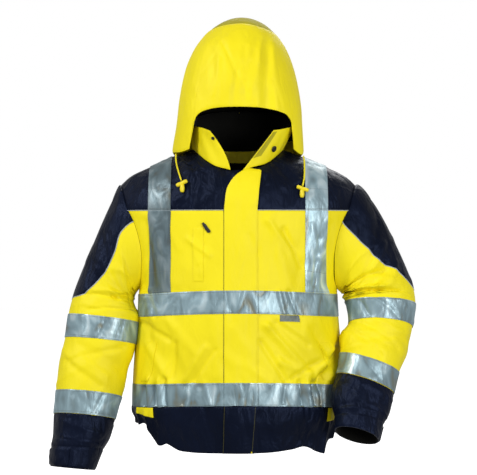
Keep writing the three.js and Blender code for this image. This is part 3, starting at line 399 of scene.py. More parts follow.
# A sewn piece: two faces of the same grid of points with a wall between them along the open edges. The outer
# face dips at the edges, as cloth does beside a seam: by a bell of the distance to the edge. high and low are
# heights over the surface, and a piece with a pole is closed at its last row.
def sewnPiece(name, points, sign, high, low, slots, node=None, closed=False, dip=0.9, dipWidth=3.0, pole=False):
    normals = gridNormals(points, closed, sign)
    if pole:
        normals[-1] = (0, 0, 1)
    u, v = clothLengths(points)
    edge = np.minimum(v, v[-1:] - v) if not pole else v
    if not closed:
        edge = np.minimum(edge, np.minimum(u, u[:, -1:] - u))
    sunk = dip * np.exp(-((edge / dipWidth) ** 2))
    outer = points + normals * (high - sunk)[..., None]
    inner = points + normals * np.minimum(low, high - sunk - 0.15)[..., None]
    if closed:
        outer, inner, u, v = (grid[:, :-1] for grid in (outer, inner, u, v))
    rows, columns = outer.shape[:2]
    index = np.arange(rows * columns).reshape(rows, columns)
    last = columns if closed else columns - 1
    here, right = index[:, :last], np.roll(index, -1, axis=1)[:, :last]
    quads = np.stack([here[:-1], right[:-1], right[1:], here[1:]], axis=-1).reshape(-1, 4)
    if sign < 0:
        quads = quads[:, ::-1]
    count = rows * columns
    ends = [(here[0], right[0], True)]
    if not pole:
        ends += [(here[-1], right[-1], False)]
    if not closed:
        ends += [(index[:-1, 0], index[1:, 0], False), (index[:-1, -1], index[1:, -1], True)]
    walls = []
    for first, second, turned in ends:
        wall = np.stack([first, first + count, second + count, second], axis=-1)
        walls.append(wall[:, ::-1] if turned != (sign > 0) else wall)
    walls = np.concatenate(walls)
    faces = np.concatenate([quads, quads[:, ::-1] + count, walls]).tolist()
    lining = len(slots) - 1
    faceSlots = [0] * len(quads) + [lining] * len(quads) + [0] * len(walls)
    if pole:
        faces += [here[-1].tolist(), (here[-1][::-1] + count).tolist()]
        faceSlots += [0, lining]
    vertices = np.concatenate([outer.reshape(-1, 3), inner.reshape(-1, 3)])
    uvs = np.tile(np.stack([u.ravel(), v.ravel()], axis=-1), (2, 1))
    return finishMesh(name, vertices, faces, uvs, slots, faceSlots, node=node)


# Height of folds over a flat chart: a bell across each fold's line, fading past its ends.
def foldHeight(table, x, z):
    total = np.zeros(np.broadcast(x, z).shape)
    for x1, z1, x2, z2, width, height in table:
        dx, dz = x2 - x1, z2 - z1
        length = math.hypot(dx, dz)
        along = ((x - x1) * dx + (z - z1) * dz) / length
        across = ((x - x1) * dz - (z - z1) * dx) / length
        past = np.maximum(0, np.maximum(-along, along - length))
        total += height * np.exp(-((across / width) ** 2) - (past / width) ** 2)
    return total


# Small creases strewn over a chart, with a main direction that they keep near to.
def strewCreases(count, box, angle, spread, lengths, widths, heights):
    x = random.uniform(box[0], box[1], count)
    z = random.uniform(box[2], box[3], count)
    turn = np.radians(random.normal(angle, spread, count))
    length = random.uniform(*lengths, count)
    width = random.uniform(*widths, count)
    height = random.uniform(*heights, count) * random.choice([-1, 1], count)
    ends = x + length * np.cos(turn), z + length * np.sin(turn)
    return np.stack([x, z, *ends, width, height], axis=-1).tolist()


yokeSeamZ, hemSeamZ = -137, -567
shoulderHalfWidth = 275
yokeDepth = dict(front=140, back=128)
clothPerRadian = 157
# Distance from the middle at which the yoke's columns begin to lean towards the armhole.
yokeFar = 197

# Trunk sections: z, half the width, depth in front, depth behind.
trunkSections = [
    (-680, 224, 128, 124),
    (-650, 226, 134, 128),
    (-600, 235, 146, 134),
    (-567, 237, 149, 137),
    (-517, 236, 150, 138),
    (-450, 232, 151, 139),
    (-367, 225, 151, 139),
    (-306, 222, 149, 137),
    (-250, 238, 145, 133),
    (-200, 257, 142, 130),
    (-137, 275, 140, 128),
]
shoulderLine = [(0, 20), (50, 15), (103, 0), (150, -18), (200, -40), (240, -59), (264, -80), (275, -90)]

# Folds of the trunk in the front view: x1, z1, x2, z2, width, height.
frontFolds = [
    (83, -410, 185, -530, 24, -5), (100, -392, 205, -490, 22, 4), (205, -300, 150, -400, 22, 4),
    (-215, -310, -165, -430, 24, 4), (-190, -400, -120, -510, 26, -4), (60, -392, 150, -500, 9, 2.2),
    (92, -470, 190, -512, 8, 2), (160, -395, 208, -470, 8, -2.4), (-206, -335, -196, -420, 8, -2),
    (-200, -430, -150, -515, 8, 2), (-150, -380, -95, -450, 10, 1.6), (-60, -330, -45, -500, 12, 1.4),
    (70, -150, 110, -300, 12, 1.6), (-205, -160, -185, -300, 9, -2), (206, -170, 190, -300, 9, -2),
    (228, -438, 176, -520, 12, -6), (208, -440, 150, -528, 9, 3.5), (50, -428, 106, -512, 7, -3),
    (64, -392, 166, -500, 8, 3.5), (84, -384, 150, -432, 5, -2), (120, -505, 196, -452, 6, -2.4),
    (-120, -512, -70, -440, 7, 2.6), (-98, -512, -50, -446, 5, -2), (-138, -430, -150, -505, 7, -3),
    (-216, -380, -150, -420, 6, -2.2), (-208, -524, -207, -566, 5.5, -4.4), (-186, -524, -184, -566, 5.5, -4.6),
    (-163, -508, -160, -566, 5.5, -4.6), (-196, -505, -195, -566, 5, 2.6), (-173, -508, -171, -566, 5, 2.6),
    (-118, -516, -124, -560, 6, -1.8), (-74, -518, -66, -562, 6, 1.6), (136, -512, 142, -566, 5, -3.8),
    (150, -508, 158, -566, 5, 2.6), (165, -500, 172, -566, 5.5, -4.6), (188, -500, 186, -566, 5.5, -4.4),
    (104, -520, 98, -560, 5, -2), (110, -318, 128, -366, 5, -2.4), (88, -316, 100, -364, 4, 1.8),
    (-196, -318, -180, -366, 6, -2), (-108, -200, -62, -236, 6, 1.6), (64, -160, 120, -230, 7, 2),
    (100, -180, 138, -260, 6, -2), (178, -200, 166, -300, 5, -2.6), (160, -170, 178, -240, 5, 2.2),
    (-178, -176, -160, -232, 5, 1.8),
]
backFolds = [
    (-200, -300, -120, -440, 28, 5), (200, -300, 130, -430, 28, 5), (-70, -400, 60, -520, 30, -5),
    (-190, -380, -80, -500, 9, 2), (180, -370, 90, -490, 9, 2), (-40, -160, -60, -320, 14, 2),
    (50, -160, 66, -330, 14, 2),
]
smallFront = strewCreases(46, (-220, 220, -560, -150), -68, 26, (25, 80), (7, 13), (0.4, 1.1))
smallBack = strewCreases(46, (-220, 220, -560, -150), -100, 30, (25, 90), (4.5, 9), (0.4, 1.2))


# Folds of the trunk: the large ones, first in each table, fade towards the bands, the fine ones at the hem seam.
def trunkFold(x, z, isFront):
    quiet = smooth(-560, -510, z) * (1 - smooth(-320, -290, z))
    sewn = smooth(-572, -563, z)
    heights = []
    for table, small, large in ((frontFolds, smallFront, 5), (backFolds, smallBack, 3)):
        fine = foldHeight(table[large:] + small, x, z)
        heights.append(1.4 * foldHeight(table[:large], x, z) * quiet + 1.8 * fine * sewn)
    return np.where(isFront, *heights)


def halfWidthAt(z):
    return lookUp(trunkSections, 1, z)


def depthAt(z, isFront):
    return np.where(isFront, lookUp(trunkSections, 2, z), lookUp(trunkSections, 3, z))


# How far the bands and the hem rise in the middle and sink at the sides, in millimetres.
bandArch, sideDrop = 5, 7


# Trunk: an ellipse in plan for each height, half as wide and as deep as the table says, plus its folds.
def trunkSurface(turn, z):
    angle = np.radians(turn)
    isFront = np.cos(angle) > 0
    x = halfWidthAt(z) * np.sin(angle)
    drop = smooth(-220, -300, z) * (sideDrop * np.sin(angle) ** 2 - bandArch * np.cos(angle) ** 2)
    lift = trunkFold(x, z, isFront) * smooth(0.02, 0.3, np.abs(np.cos(angle)))
    y = -(depthAt(z, isFront) + lift) * np.cos(angle)
    return np.stack(np.broadcast_arrays(x + lift * np.sin(angle), y, z - drop), axis=-1)


yokeCreases = strewCreases(60, (-250, 250, 0, 240), 70, 40, (25, 80), (4, 8), (0.8, 2.2))


# How far the yoke stands out in front or behind, at a distance from the middle.
def yokeReach(x, isFront, lift=0):
    depth = np.where(isFront, yokeDepth["front"], yokeDepth["back"]) + lift
    return depth * np.sqrt(np.maximum(0, 1 - (x / shoulderHalfWidth) ** 2))


# Yoke: an arch of half an ellipse from the front seam over the shoulder line to the back seam.
def yokeSurface(x, arch):
    lift = foldHeight(yokeCreases, x, arch * clothPerRadian) * smooth(0, 0.12, arch)
    reach = yokeReach(x, np.cos(arch) > 0, lift)
    top = lookUp(shoulderLine, 1, np.abs(x)) + 0.6 * lift
    z = yokeSeamZ + (top - yokeSeamZ) * np.sin(arch)
    return np.stack(np.broadcast_arrays(x, -reach * np.cos(arch), z), axis=-1)


# Front chart: below the yoke seam v is a height, above it a length of cloth.
def frontSurface(x, v):
    z = yokeSeamZ + np.minimum(v, 0)
    turn = np.degrees(np.arcsin(np.clip(x / halfWidthAt(z), -1, 1)))
    below = trunkSurface(turn, z)
    above = yokeSurface(x, np.maximum(v, 0) / clothPerRadian)
    return np.where((v > 0)[..., None], above, below)


armhole = dict(z=-193, halfHeight=113, halfDepth=74)


# Turn at which a trunk piece ends, at the armhole or the side seam.
def turnAtSide(z, isFront):
    rise = np.clip((z - armhole["z"]) / armhole["halfHeight"], -1, 1)
    y = armhole["halfDepth"] * np.sqrt(1 - rise**2)
    return np.degrees(np.arccos(np.clip(y / depthAt(z, isFront), 0, 1)))


# Halves a span forty times, for whole arrays, towards the place where a test turns from true to false.
def bisect(test, low, high):
    for _ in range(40):
        middle = (low + high) / 2
        passed = test(middle)
        low, high = np.where(passed, middle, low), np.where(passed, high, middle)
    return (low + high) / 2


# Distance from the middle at which the yoke ends at the armhole.
def yokeEnd(arch):
    def outside(x):
        top = lookUp(shoulderLine, 1, x)
        y = yokeReach(x, np.cos(arch) > 0) * np.cos(arch)
        z = yokeSeamZ + (top - yokeSeamZ) * np.sin(arch)
        return (y / armhole["halfDepth"]) ** 2 + ((z - armhole["z"]) / armhole["halfHeight"]) ** 2 > 1

    return bisect(outside, yokeFar, shoulderHalfWidth - 0.1)


# Edge of the armhole: an ellipse in the side view, laid on the trunk and the yoke.
def armholeEdge(side, around):
    angle = np.radians(around)
    y = -armhole["halfDepth"] * np.sin(angle)
    z = armhole["z"] + armhole["halfHeight"] * np.cos(angle)
    isFront = y < 0
    turn = np.arccos(np.clip(np.abs(y) / depthAt(z, isFront), 0, 1))
    below = halfWidthAt(z) * np.sin(turn)
    drop = sideDrop * smooth(-220, -300, z) * np.sin(turn) ** 2

    def inside(x):
        top = lookUp(shoulderLine, 1, x)
        return (y / yokeReach(x, isFront)) ** 2 + ((z - yokeSeamZ) / (top - yokeSeamZ)) ** 2 < 1

    above = bisect(inside, 100.0, shoulderHalfWidth - 0.1)
    low = z < yokeSeamZ
    return np.stack([side * np.where(low, below, above), y, np.where(low, z - drop, z)], axis=-1)


# Sleeve sections: t, outer x and z, inner x and z, y of the middle, tip of the front edge in degrees, half depth.
rightSleeve = [
    (0, 264, -80, 222, -313, 0, 0, 74),
    (1, 282, -115, 227, -319, 0, 0, 74),
    (2, 305, -165, 231, -326, -1, 1, 73),
    (3, 330, -225, 233, -335, -3, 2, 72),
    (4, 352, -278, 233, -347, -6, 4, 71),
    (5, 369, -325, 231, -363, -9, 6, 70),
    (6, 380, -369, 230, -387, -13, 7, 70),
    (7, 387, -421, 233, -436, -20, 8, 69),
    (8, 400, -480, 243, -492, -29, 10, 69),
    (9, 405, -538, 260, -551, -40, 11, 66),
    (10, 409, -589, 273, -601, -50, 11, 61),
    (11, 410, -634, 284, -641, -58, 11, 57),
    (12, 414, -661, 298, -666, -64, 10, 52),
    (13, 415, -702, 316, -711, -72, 9, 46),
]
leftSleeve = [
    (0, 264, -80, 222, -313, 0, 0, 74),
    (1, 298, -112, 227, -317, 0, 0, 74),
    (2, 328, -160, 231, -321, -2, 1, 74),
    (3, 354, -214, 233, -325, -5, 3, 73),
    (4, 377, -266, 235, -329, -9, 5, 72),
    (5, 393, -310, 236, -334, -13, 8, 72),
    (6, 397, -346, 237, -340, -18, 12, 71),
    (7, 389, -398, 238, -388, -28, 17, 68),
    (8, 379, -449, 234, -420, -42, 16, 66),
    (9, 356, -498, 227, -454, -60, 14, 62),
    (10, 343, -543, 217, -498, -80, 16, 58),
    (11, 331, -584, 203, -548, -104, 20, 57),
    (12, 317, -606, 211, -588, -122, 24, 50),
    (13, 306, -641, 210, -613, -138, 25, 46),
]
# Half the spread of the dark shoulder panel round the sleeve, in degrees, for each t.
rightPanel = [(0, 74), (1, 75), (2, 80), (3, 78), (4, 68), (4.6, 57), (5, 42), (5.25, 0)]
leftPanel = [(0, 74), (1, 83), (2, 78), (3, 70), (4, 46), (4.6, 33), (5, 18), (5.15, 0)]

# Folds of the sleeves: degrees around and t at one end, the same at the other, width, height.
sleeveFolds = {
    "right": [
        (158, 1.8, 154, 4.9, 10, -7), (165, 2.6, 110, 4.4, 7, -7), (150, 4.1, 50, 4.9, 5, -3.5),
        (140, 3.4, 70, 4.5, 5, 3), (160, 4.9, 70, 5.7, 5, -3), (120, 1.6, 80, 3.0, 6, 2.5),
        (100, 6.1, 90, 6.9, 4, -2.5), (60, 6.1, 66, 6.9, 4, 2), (140, 7.2, 50, 7.9, 5, -3),
        (40, 7.9, 110, 8.8, 5, -3.4), (60, 7.7, 120, 8.4, 4, 2.4), (120, 9.1, 110, 9.9, 4, -2.5),
        (75, 9.1, 80, 9.9, 4, -2), (60, 3.4, 130, 4.4, 9, 3), (40, 2.2, 110, 3.3, 9, -2.5),
        (100, 1.5, 140, 3.0, 8, 3), (30, 5.6, 70, 5.3, 7, 1.5), (20, 7.5, 120, 8.6, 8, 2.5),
        (60, 7.3, 150, 8.1, 7, -2), (10, 8.8, 90, 8.0, 7, 1.8), (40, 10.3, 130, 10.9, 7, 2.4),
        (20, 11.2, 100, 11.5, 6, -2.2), (60, 11.3, 150, 11.8, 6, 2.4),
    ],
    "left": [
        (158, 1.8, 152, 4.6, 10, -7), (165, 3.5, 92, 5.0, 6.5, -9.5), (160, 3.1, 84, 4.7, 6.5, 6),
        (150, 4.4, 60, 5.3, 7, -5.5), (130, 5.0, 40, 5.6, 7, 2.5), (160, 2.2, 70, 3.7, 7, -6.5),
        (120, 1.2, 60, 2.3, 6, 2.5), (100, 6.1, 60, 6.9, 4, -3), (60, 6.1, 30, 6.8, 4, 2.5),
        (130, 6.2, 110, 6.9, 4, -3), (130, 7.2, 50, 8.2, 5, -3), (100, 7.1, 20, 7.8, 5, 2.5),
        (150, 7.6, 80, 8.8, 5, -3), (110, 9.1, 70, 9.8, 4, -2.5), (50, 9.1, 30, 9.8, 4, 2), (50, 2.6, 140, 4.0, 9, 4),
        (60, 3.4, 120, 4.9, 8, -4), (70, 4.2, 140, 5.3, 8, 4), (40, 3.6, 90, 5.2, 7, 2.6),
        (30, 1.6, 100, 2.9, 9, -2.5), (30, 7.4, 120, 7.8, 8, 3), (20, 8.5, 100, 8.1, 8, -2.5),
        (60, 7.9, 150, 8.8, 7, 2), (20, 10.4, 110, 10.2, 7, 2.4), (50, 10.8, 130, 11.5, 7, -2.4),
        (10, 11.5, 90, 11.1, 6, 2.2), (60, 11.6, 150, 11.7, 5, 1.8),
    ],
}
sleeves = {
    "right": dict(side=-1, sections=rightSleeve, panel=rightPanel, tipAt=5.25, bulge=3),
    "left": dict(side=1, sections=leftSleeve, panel=leftPanel, tipAt=5.15, bulge=6),
}
# Length of cloth for one t, and the radius that heights are a share of.
clothPerT, sleeveRadius = 50, 70
for name, sleeve in sleeves.items():
    back = strewCreases(16, (190, 340, 60, 600), 10, 30, (30, 90), (6, 11), (0.8, 2.6))
    front = strewCreases(26, (-40, 190, 60, 640), 15, 35, (20, 70), (4, 8), (0.4, 1.5))
    placed = [(a, b * clothPerT, c, d * clothPerT, *size) for a, b, c, d, *size in sleeveFolds[name]]
    sleeve["folds"] = placed + back + front
# Swellings and waists round the sleeves: t, half their length in t, height, the turn that they face.
sleeveRings = {
    "right": [(3.6, 0.3, -4, 130), (5.5, 0.3, 3, 200), (8.0, 0.35, -4, 150), (5.9, 1.5, 6.5, 180),
              (5.2, 0.6, 5, 180)],
    "left": [(3.4, 0.35, -5, 140), (4.6, 0.4, 4, 120), (5.45, 0.4, -4, 130), (7.7, 0.35, -4, 60), (8.5, 0.3, 3, 100),
             (6.8, 0.6, -10, 180), (8.0, 0.7, 8, 180)],
}


# Sleeve: an ellipse for each section, spanned by its outer and inner ends and a forward direction that tips up.
def sleeveSurface(name, around, t):
    sleeve = sleeves[name]
    side, table = sleeve["side"], sleeve["sections"]
    around, t = np.broadcast_arrays(np.asarray(around, float), np.asarray(t, float))
    outX, outZ, inX, inZ, y, tip, depth = (lookUp(table, k, t) for k in range(1, 8))
    middle = np.stack([side * (outX + inX) / 2, y, (outZ + inZ) / 2], axis=-1)
    reach = np.stack([side * (outX - inX) / 2, np.zeros_like(y), (outZ - inZ) / 2], axis=-1)
    up = side * unit(np.stack([-reach[..., 2], np.zeros_like(y), reach[..., 0]], axis=-1))
    tip = np.radians(tip)
    forward = up * (np.sin(tip) * depth)[..., None]
    forward[..., 1] -= np.cos(tip) * depth
    angle = np.radians(around)
    height = np.ones_like(t)
    for place, width, high, turn in sleeveRings[name]:
        facing = np.maximum(0, np.cos(np.radians(around - turn)))
        height += high / sleeveRadius * facing * np.exp(-(((t - place) / width) ** 2))
    turned = (around + 40) % 360 - 40
    fine = foldHeight(sleeve["folds"], turned, t * clothPerT)
    ease = smooth(-40, -20, turned) * (1 - smooth(300, 320, turned))
    height += fine / sleeveRadius * ease * smooth(0.05, 0.6, t)
    point = middle + reach * (height * np.cos(angle))[..., None] + forward * (height * np.sin(angle))[..., None]
    share = np.where(t < 1, (1 - t) ** 2 * (1 + 2 * t), 0)[..., None]
    bulge = np.maximum(0, np.cos(angle)) * sleeve["bulge"] * np.sin(np.pi * np.clip(t, 0, 1)) * 0.7
    seam = armholeEdge(side, around)
    point = point * (1 - share) + seam * share
    point[..., 0] += side * bulge
    point[..., 2] += bulge
    return point


# Heights of the outer and the inner face over the surface, for tapes and for cloth.
tapeSpan = (1.6, 0.8)
clothSpan = (0.0, -3.0)


# A piece on one side of the trunk, from an inner edge to an outer one, or to the side where none is given.
def trunkPiece(node, ending, side, isFront, innerX, outerX, low, high, size, heights, slots, **more):
    columns, rows = size
    z = steps(low, high, rows, 1.2 / (high - low))[:, None]
    width = np.maximum(halfWidthAt(z), narrowest)
    inner = np.degrees(np.arcsin(innerX / width))
    outer = turnAtSide(z, isFront) if outerX is None else np.degrees(np.arcsin(outerX / width))
    turn = side * (inner + (outer - inner) * steps(0, 1, columns))
    if isFront:
        sewnPiece(node + ending, trunkSurface(turn, z), side, *heights, slots, node, **more)
    else:
        sewnPiece(node + ending, trunkSurface(180 - turn, z), -side, *heights, slots, node, **more)


# A piece of the back, from one side round the middle of the back to the other.
def backPiece(node, ending, z, heights, slots, **more):
    halfShares = steps(0, 1, 54)
    turn = 180 + np.concatenate([-halfShares[:0:-1], halfShares]) * turnAtSide(z, False)
    sewnPiece(node + ending, trunkSurface(turn, z), 1, *heights, slots, node, **more)


# The least half width of the trunk, and the span of its panels.
narrowest = 222
panelLow, panelHigh = hemSeamZ + 0.9, yokeSeamZ - 0.4
yellowWall = ["yellowCloth", "blackFleece"]
navyWall = ["navyCloth", "blackFleece"]
for name, side in sides:
    trunkPiece("front_" + name, "_cloth", side, True, 0.15, None, panelLow, panelHigh, (96, 100), clothSpan, yellowWall)
backPiece("back", "_cloth", steps(panelLow, panelHigh, 100, 0.003)[:, None], clothSpan, yellowWall)
print("trunk panels made")


hemDepth = 113
# Lower edge of the hem: x, and how far the edge rises there.
hemTips = [(-240, 0), (-222, 3), (-208, 9), (-198, 8), (-186, -1), (-176, -9), (-168, -7), (-156, 0), (-60, 0),
           (60, 0), (172, 0), (186, -4), (193, -8), (199, 6), (204, 11), (214, 8), (228, 0), (240, 0)]


# Hem: level in front and behind, drawn up at the sides, with gathers that stand out more towards its edge.
def hemSurface(turn, part):
    full = np.mod(turn, 360)
    off = np.where(full > 180, 360 - full, full)
    fromFront = np.minimum(off, 180 - off)
    isLeft = full < 180
    rise = np.where(isLeft, 42 * smooth(52, 88, fromFront), 66 * smooth(30, 80, fromFront))
    lifted = np.where(isLeft, 14, 9) * np.exp(-(((fromFront - 42) / 17) ** 2)) + 7
    tips = 3 * np.sin(np.radians(fromFront * 15)) * smooth(28, 44, fromFront)
    z = hemSeamZ - 0.3 - part * (hemDepth - rise - lifted) - tips * part**2
    section = hemSeamZ - part * hemDepth
    angle = np.radians(turn)
    gather = smooth(44, 60, fromFront)
    swell = np.sin(np.pi * part * 0.5)
    waves = 3.6 * np.sin(np.radians(fromFront * 26)) * gather * swell
    waves += 1.2 * np.sin(np.radians(fromFront * 61 + 40)) * gather * np.sin(np.pi * np.clip(part, 0, 1))
    waves += 1.8 * np.sin(np.radians(turn * 13 + 60 * part)) * smooth(0.1, 0.9, part) * (1 - gather)
    x = -5 * part + (halfWidthAt(section) + waves) * np.sin(angle)
    y = -(depthAt(section, np.cos(angle) > 0) + waves) * np.cos(angle)
    z = z - sideDrop * np.sin(angle) ** 2 + bandArch * np.cos(angle) ** 2 + part**3 * lookUp(hemTips, 1, x)
    return np.stack(np.broadcast_arrays(x, y, z), axis=-1)


hemPanels = [("front_left", 0.04, 89.95, 110), ("front_right", -89.95, -0.04, 110), ("back", 90.05, 269.95, 220)]
for name, start, end, count in hemPanels:
    surface = hemSurface(steps(start, end, count, 0.004), steps(0, 1, 26, 0.012)[:, None])
    sewnPiece(f"hem_{name}_cloth", surface, -1, *clothSpan, navyWall, "hem_" + name)
print("hem made")

# Collar: u, neck x and y, top x, y and z, bend of the middle.
collarRows = [
    (0, -17, -116, -63, -113, 36, 8),
    (1, -49, -107, -79, -97, 43, 4),
    (2, -72, -90, -92, -68, 48, 0),
    (3, -92, -55, -101, -32, 53, 0),
    (4, -102, -10, -106, 6, 60, 0),
    (5, -94, 38, -98, 44, 72, 0),
    (6, -58, 70, -60, 79, 85, 0),
    (7, 0, 81, 2, 92, 90, 0),
    (8, 58, 70, 64, 79, 85, 0),
    (9, 94, 38, 105, 44, 72, 0),
    (10, 102, -10, 118, 6, 60, 0),
    (11, 97, -45, 123, -32, 51, 0),
    (12, 84, -76, 114, -68, 46, 0),
    (13, 62, -100, 99, -96, 41, 0),
    (14, 11, -117, 79, -113, 37, 0),
]


# Height of the yoke over a point in plan.
def yokeHeight(x, y):
    top = lookUp(shoulderLine, 1, np.abs(x))
    return yokeSeamZ + (top - yokeSeamZ) * np.sqrt(np.maximum(0, 1 - (y / yokeReach(x, y < 0)) ** 2))


# Collar: straight lines from the neck seam to the top edge, with a bend at mid height and a soft swell.
def collarSurface(u, height):
    neckX, neckY, topX, topY, topZ, bend = (lookUp(collarRows, k, u) for k in range(1, 7))
    neckZ = yokeHeight(neckX, neckY) + 1.0
    x = neckX + (topX - neckX) * height + bend * 4 * height * (1 - height)
    y = neckY + (topY - neckY) * height
    z = neckZ + (topZ - neckZ) * height
    scale = 1 + (1.6 + 0.7 * np.sin(u * 5.3)) * np.sin(np.pi * np.clip(height, 0, 1)) / 100
    return np.stack(np.broadcast_arrays(x * scale, y * scale, z), axis=-1)


collarTurns = steps(0, 14, 150, 0.002)
collarHeights = steps(0, 1, 26, 0.012)[:, None]
outside = collarSurface(collarTurns, collarHeights)
sewnPiece("collar_cloth", outside, -1, 0.4, -1.7, ["yellowCloth"], "collar", dip=0.8, dipWidth=2.5)
# The inside facing at the collar's left front end: a raised strip coloured with painted shade.
facing = collarSurface(steps(13.6, 13.97, 8, 0.05), steps(0.3, 0.965, 24, 0.02)[:, None])
sewnPiece("collar_facing_left", facing, -1, 0.95, 0.45, ["shadedYellow"], dip=0.2, dipWidth=1)
inside = collarSurface(collarTurns, 0.01 + 0.975 * collarHeights)
sewnPiece("collar_fleece", inside, -1, -1.9, -3.9, ["blackFleece"], "collar_lining", dip=0.3)
binding = collarSurface(steps(5.6, 8.4, 40), steps(-0.12, 0.13, 8)[:, None])
sewnPiece("neck_binding", binding, -1, -4.1, -5.1, ["yellowCloth"], "neck_tape", dip=0.2)


# Arch of the yoke at the neck seam, for a distance from the middle.
def archAtNeck(x, isFront):
    half = collarRows[:5] if isFront else collarRows[4:8]
    rows = sorted([(-row[1], row[2]) for row in half] + [(103, 0)])
    return np.arccos(np.clip(np.abs(lookUp(rows, 1, np.abs(x))) / yokeReach(x, isFront), 0, 1))


# Yoke grid: columns from the middle to the armhole, rows from the seam to the neck or the shoulder line.
def yokeGrid(side, isFront):
    rows = steps(0.003, 0.9985, 46, 0.012)[:, None]
    near = np.concatenate([np.linspace(0.15, 86, 22), np.linspace(89, 103.2, 12), np.linspace(107, yokeFar, 22)])
    half = math.pi / 2
    top = np.where(near < 102.5, archAtNeck(np.minimum(near, 102.5), isFront), half)[None, :]
    end = yokeEnd(rows * half if isFront else math.pi - rows * half)
    farX = yokeFar + steps(0.05, 1, 8, 0.02) * (end - yokeFar)
    x = np.concatenate([np.tile(near, (len(rows), 1)), farX], axis=1)
    arch = np.concatenate([rows * top, np.tile(rows * half, farX.shape[1])], axis=1)
    return side * x, arch if isFront else math.pi - arch


for name, side in sides:
    node = "front_yoke_" + name
    sewnPiece(node + "_cloth", yokeSurface(*yokeGrid(side, True)), side, *clothSpan, navyWall, node, dip=0.6)
leftX, arch = yokeGrid(1, False)
backX = np.concatenate([-leftX[:, ::-1], leftX[:, 1:]], axis=1)
backArch = np.concatenate([arch[:, ::-1], arch[:, 1:]], axis=1)
sewnPiece("back_yoke_cloth", yokeSurface(backX, backArch), -1, *clothSpan, navyWall, "back_yoke", dip=0.6)
print("yoke and collar made")

# Storm flap: length along the cloth over the yoke seam, left edge, right edge.
flapEdges = [
    (-431, -30, 42), (-2, -30, 42), (22, -28, 43.5), (45, -24.5, 45.5), (62, -17, 47.5), (76, -6, 49), (86, 5, 50),
    (92, 12, 50.5),
]
# Its distance from the middle on either side, below the yoke.
flapEdge = dict(right=30, left=42)
flapColumns = steps(-flapEdge["right"], flapEdge["left"], 20, 0.02)
v = np.concatenate([steps(-429.7, -2, 96, 0.003), np.linspace(1, 100, 30)])[:, None]
left, right = lookUp(flapEdges, 1, v), lookUp(flapEdges, 2, v)
surface = frontSurface(left + (right - left) * steps(0, 1, 20, 0.02), v)
lift = 0.4 + 1.5 * smooth(-2, 30, v) - 4.2 * smooth(88, 100, v)
surface += gridNormals(surface, False, 1) * lift[..., None]
sewnPiece("storm_flap_cloth", surface, 1, 2.2, 0.0, ["yellowCloth"], "storm_flap", dip=1.2, dipWidth=2.2)
flapTurns = np.degrees(np.arcsin(flapColumns / lookUp(trunkSections, 1, hemSeamZ)))
surface = hemSurface(flapTurns, steps(0.004, 0.996, 26, 0.015)[:, None])
sewnPiece("storm_flap_hem_cloth", surface, -1, 2.7, 0.5, ["navyCloth"], "storm_flap_hem", dip=1.2, dipWidth=2.2)

# Tapes: two bands round the trunk and two braces over the shoulders, as far from the middle as braceEdges say.
tape = ["reflectiveTape"]
tapeFinish = dict(dip=0.35, dipWidth=1.2)
braceEdges = (147, 197)
for band, low, high in (("chest", -367, -317), ("hem", -567.1, -517)):
    for name, side in sides:
        inner = flapEdge[name] + 0.3
        trunkPiece(f"{band}_tape_{name}", "_band", side, True, inner, None, low, high, (96, 14), tapeSpan, tape,
                   **tapeFinish)
    z = steps(low, high, 12, 0.024)[:, None]
    backPiece(band + "_tape_back", "_band", z, tapeSpan, tape, **tapeFinish)
    surface = frontSurface(flapColumns[None, :], z - yokeSeamZ)
    sewnPiece(band + "_tape_flap_band", surface, 1, 3.6, 2.7, tape, band + "_tape_flap", **tapeFinish)
for name, side in sides:
    # The front braces: painted shade on the right, painted light on the left; the right shoulder brace takes the
    # painted shade as well.
    braceLightSlots = dict(front=["shadedTape" if side < 0 else "brightTape"], back=tape)
    for label, slots in braceLightSlots.items():
        trunkPiece(f"brace_{label}_{name}", "_band", side, label == "front", *braceEdges, -316.6, -137.4, (12, 46),
                   tapeSpan, slots, **tapeFinish)
    arches = steps(0.004, math.pi - 0.004, 70, 0.006)[:, None]
    surface = yokeSurface(side * steps(*braceEdges, 12, 0.024), arches)
    slots = braceLightSlots["front"] if side < 0 else tape
    sewnPiece(f"brace_shoulder_{name}_band", surface, side, 1.9, 1.1, slots, "brace_shoulder_" + name, **tapeFinish)
print("flap and tapes made")

# Sleeves: a yellow tube, a dark pointed panel over the shoulder, tapes, a lower sleeve, a cuff and its tab.
sleeveParts = [
    ("sleeve", 0.0, 9.995, 120, clothSpan, yellowWall, {}),
    ("lower_sleeve", 10.0, 11.995, 36, (0.4, -3.0), navyWall, {}),
    ("cuff", 12.0, 13.0, 22, (0.8, -2.6), navyWall, dict(dip=1.2)),
    ("sleeve_tape_upper", 6.0, 7.0, 14, tapeSpan, tape, tapeFinish),
    ("sleeve_tape_lower", 9.0, 9.985, 14, tapeSpan, tape, tapeFinish),
]
for name, sleeve in sleeves.items():
    side = sleeve["side"]
    for label, start, end, count, heights, slots, more in sleeveParts:
        t = steps(start, end, count, 0.03 / (end - start))[:, None]
        surface = sleeveSurface(name, np.linspace(0, 360, 121), t)
        sewnPiece(f"{label}_{name}_cloth", surface, side, *heights, slots, f"{label}_{name}", closed=True, **more)
    t = steps(0.0, 0.998 * sleeve["tipAt"], 74, 0.004)[:, None]
    spread = np.maximum(lookUp(sleeve["panel"], 1, t), 0.3)
    surface = sleeveSurface(name, steps(-1, 1, 40, 0.006) * spread, t)
    sewnPiece(f"sleeve_panel_{name}_cloth", surface, side, 0.9, 0.15, ["navyCloth"], "sleeve_panel_" + name, dip=0.5)
    first, last = (-80, 80) if name == "right" else (-100, 0)
    surface = sleeveSurface(name, steps(first, last, 40, 0.02), steps(12.1, 12.92, 12, 0.03)[:, None])
    sewnPiece(f"cuff_tab_{name}_cloth", surface, side, 3.2, 1.1, ["navyCloth"], "cuff_tab_" + name, dip=0.9, dipWidth=2)
print("sleeves made")

hoodTop = dict(y=14, z=300)
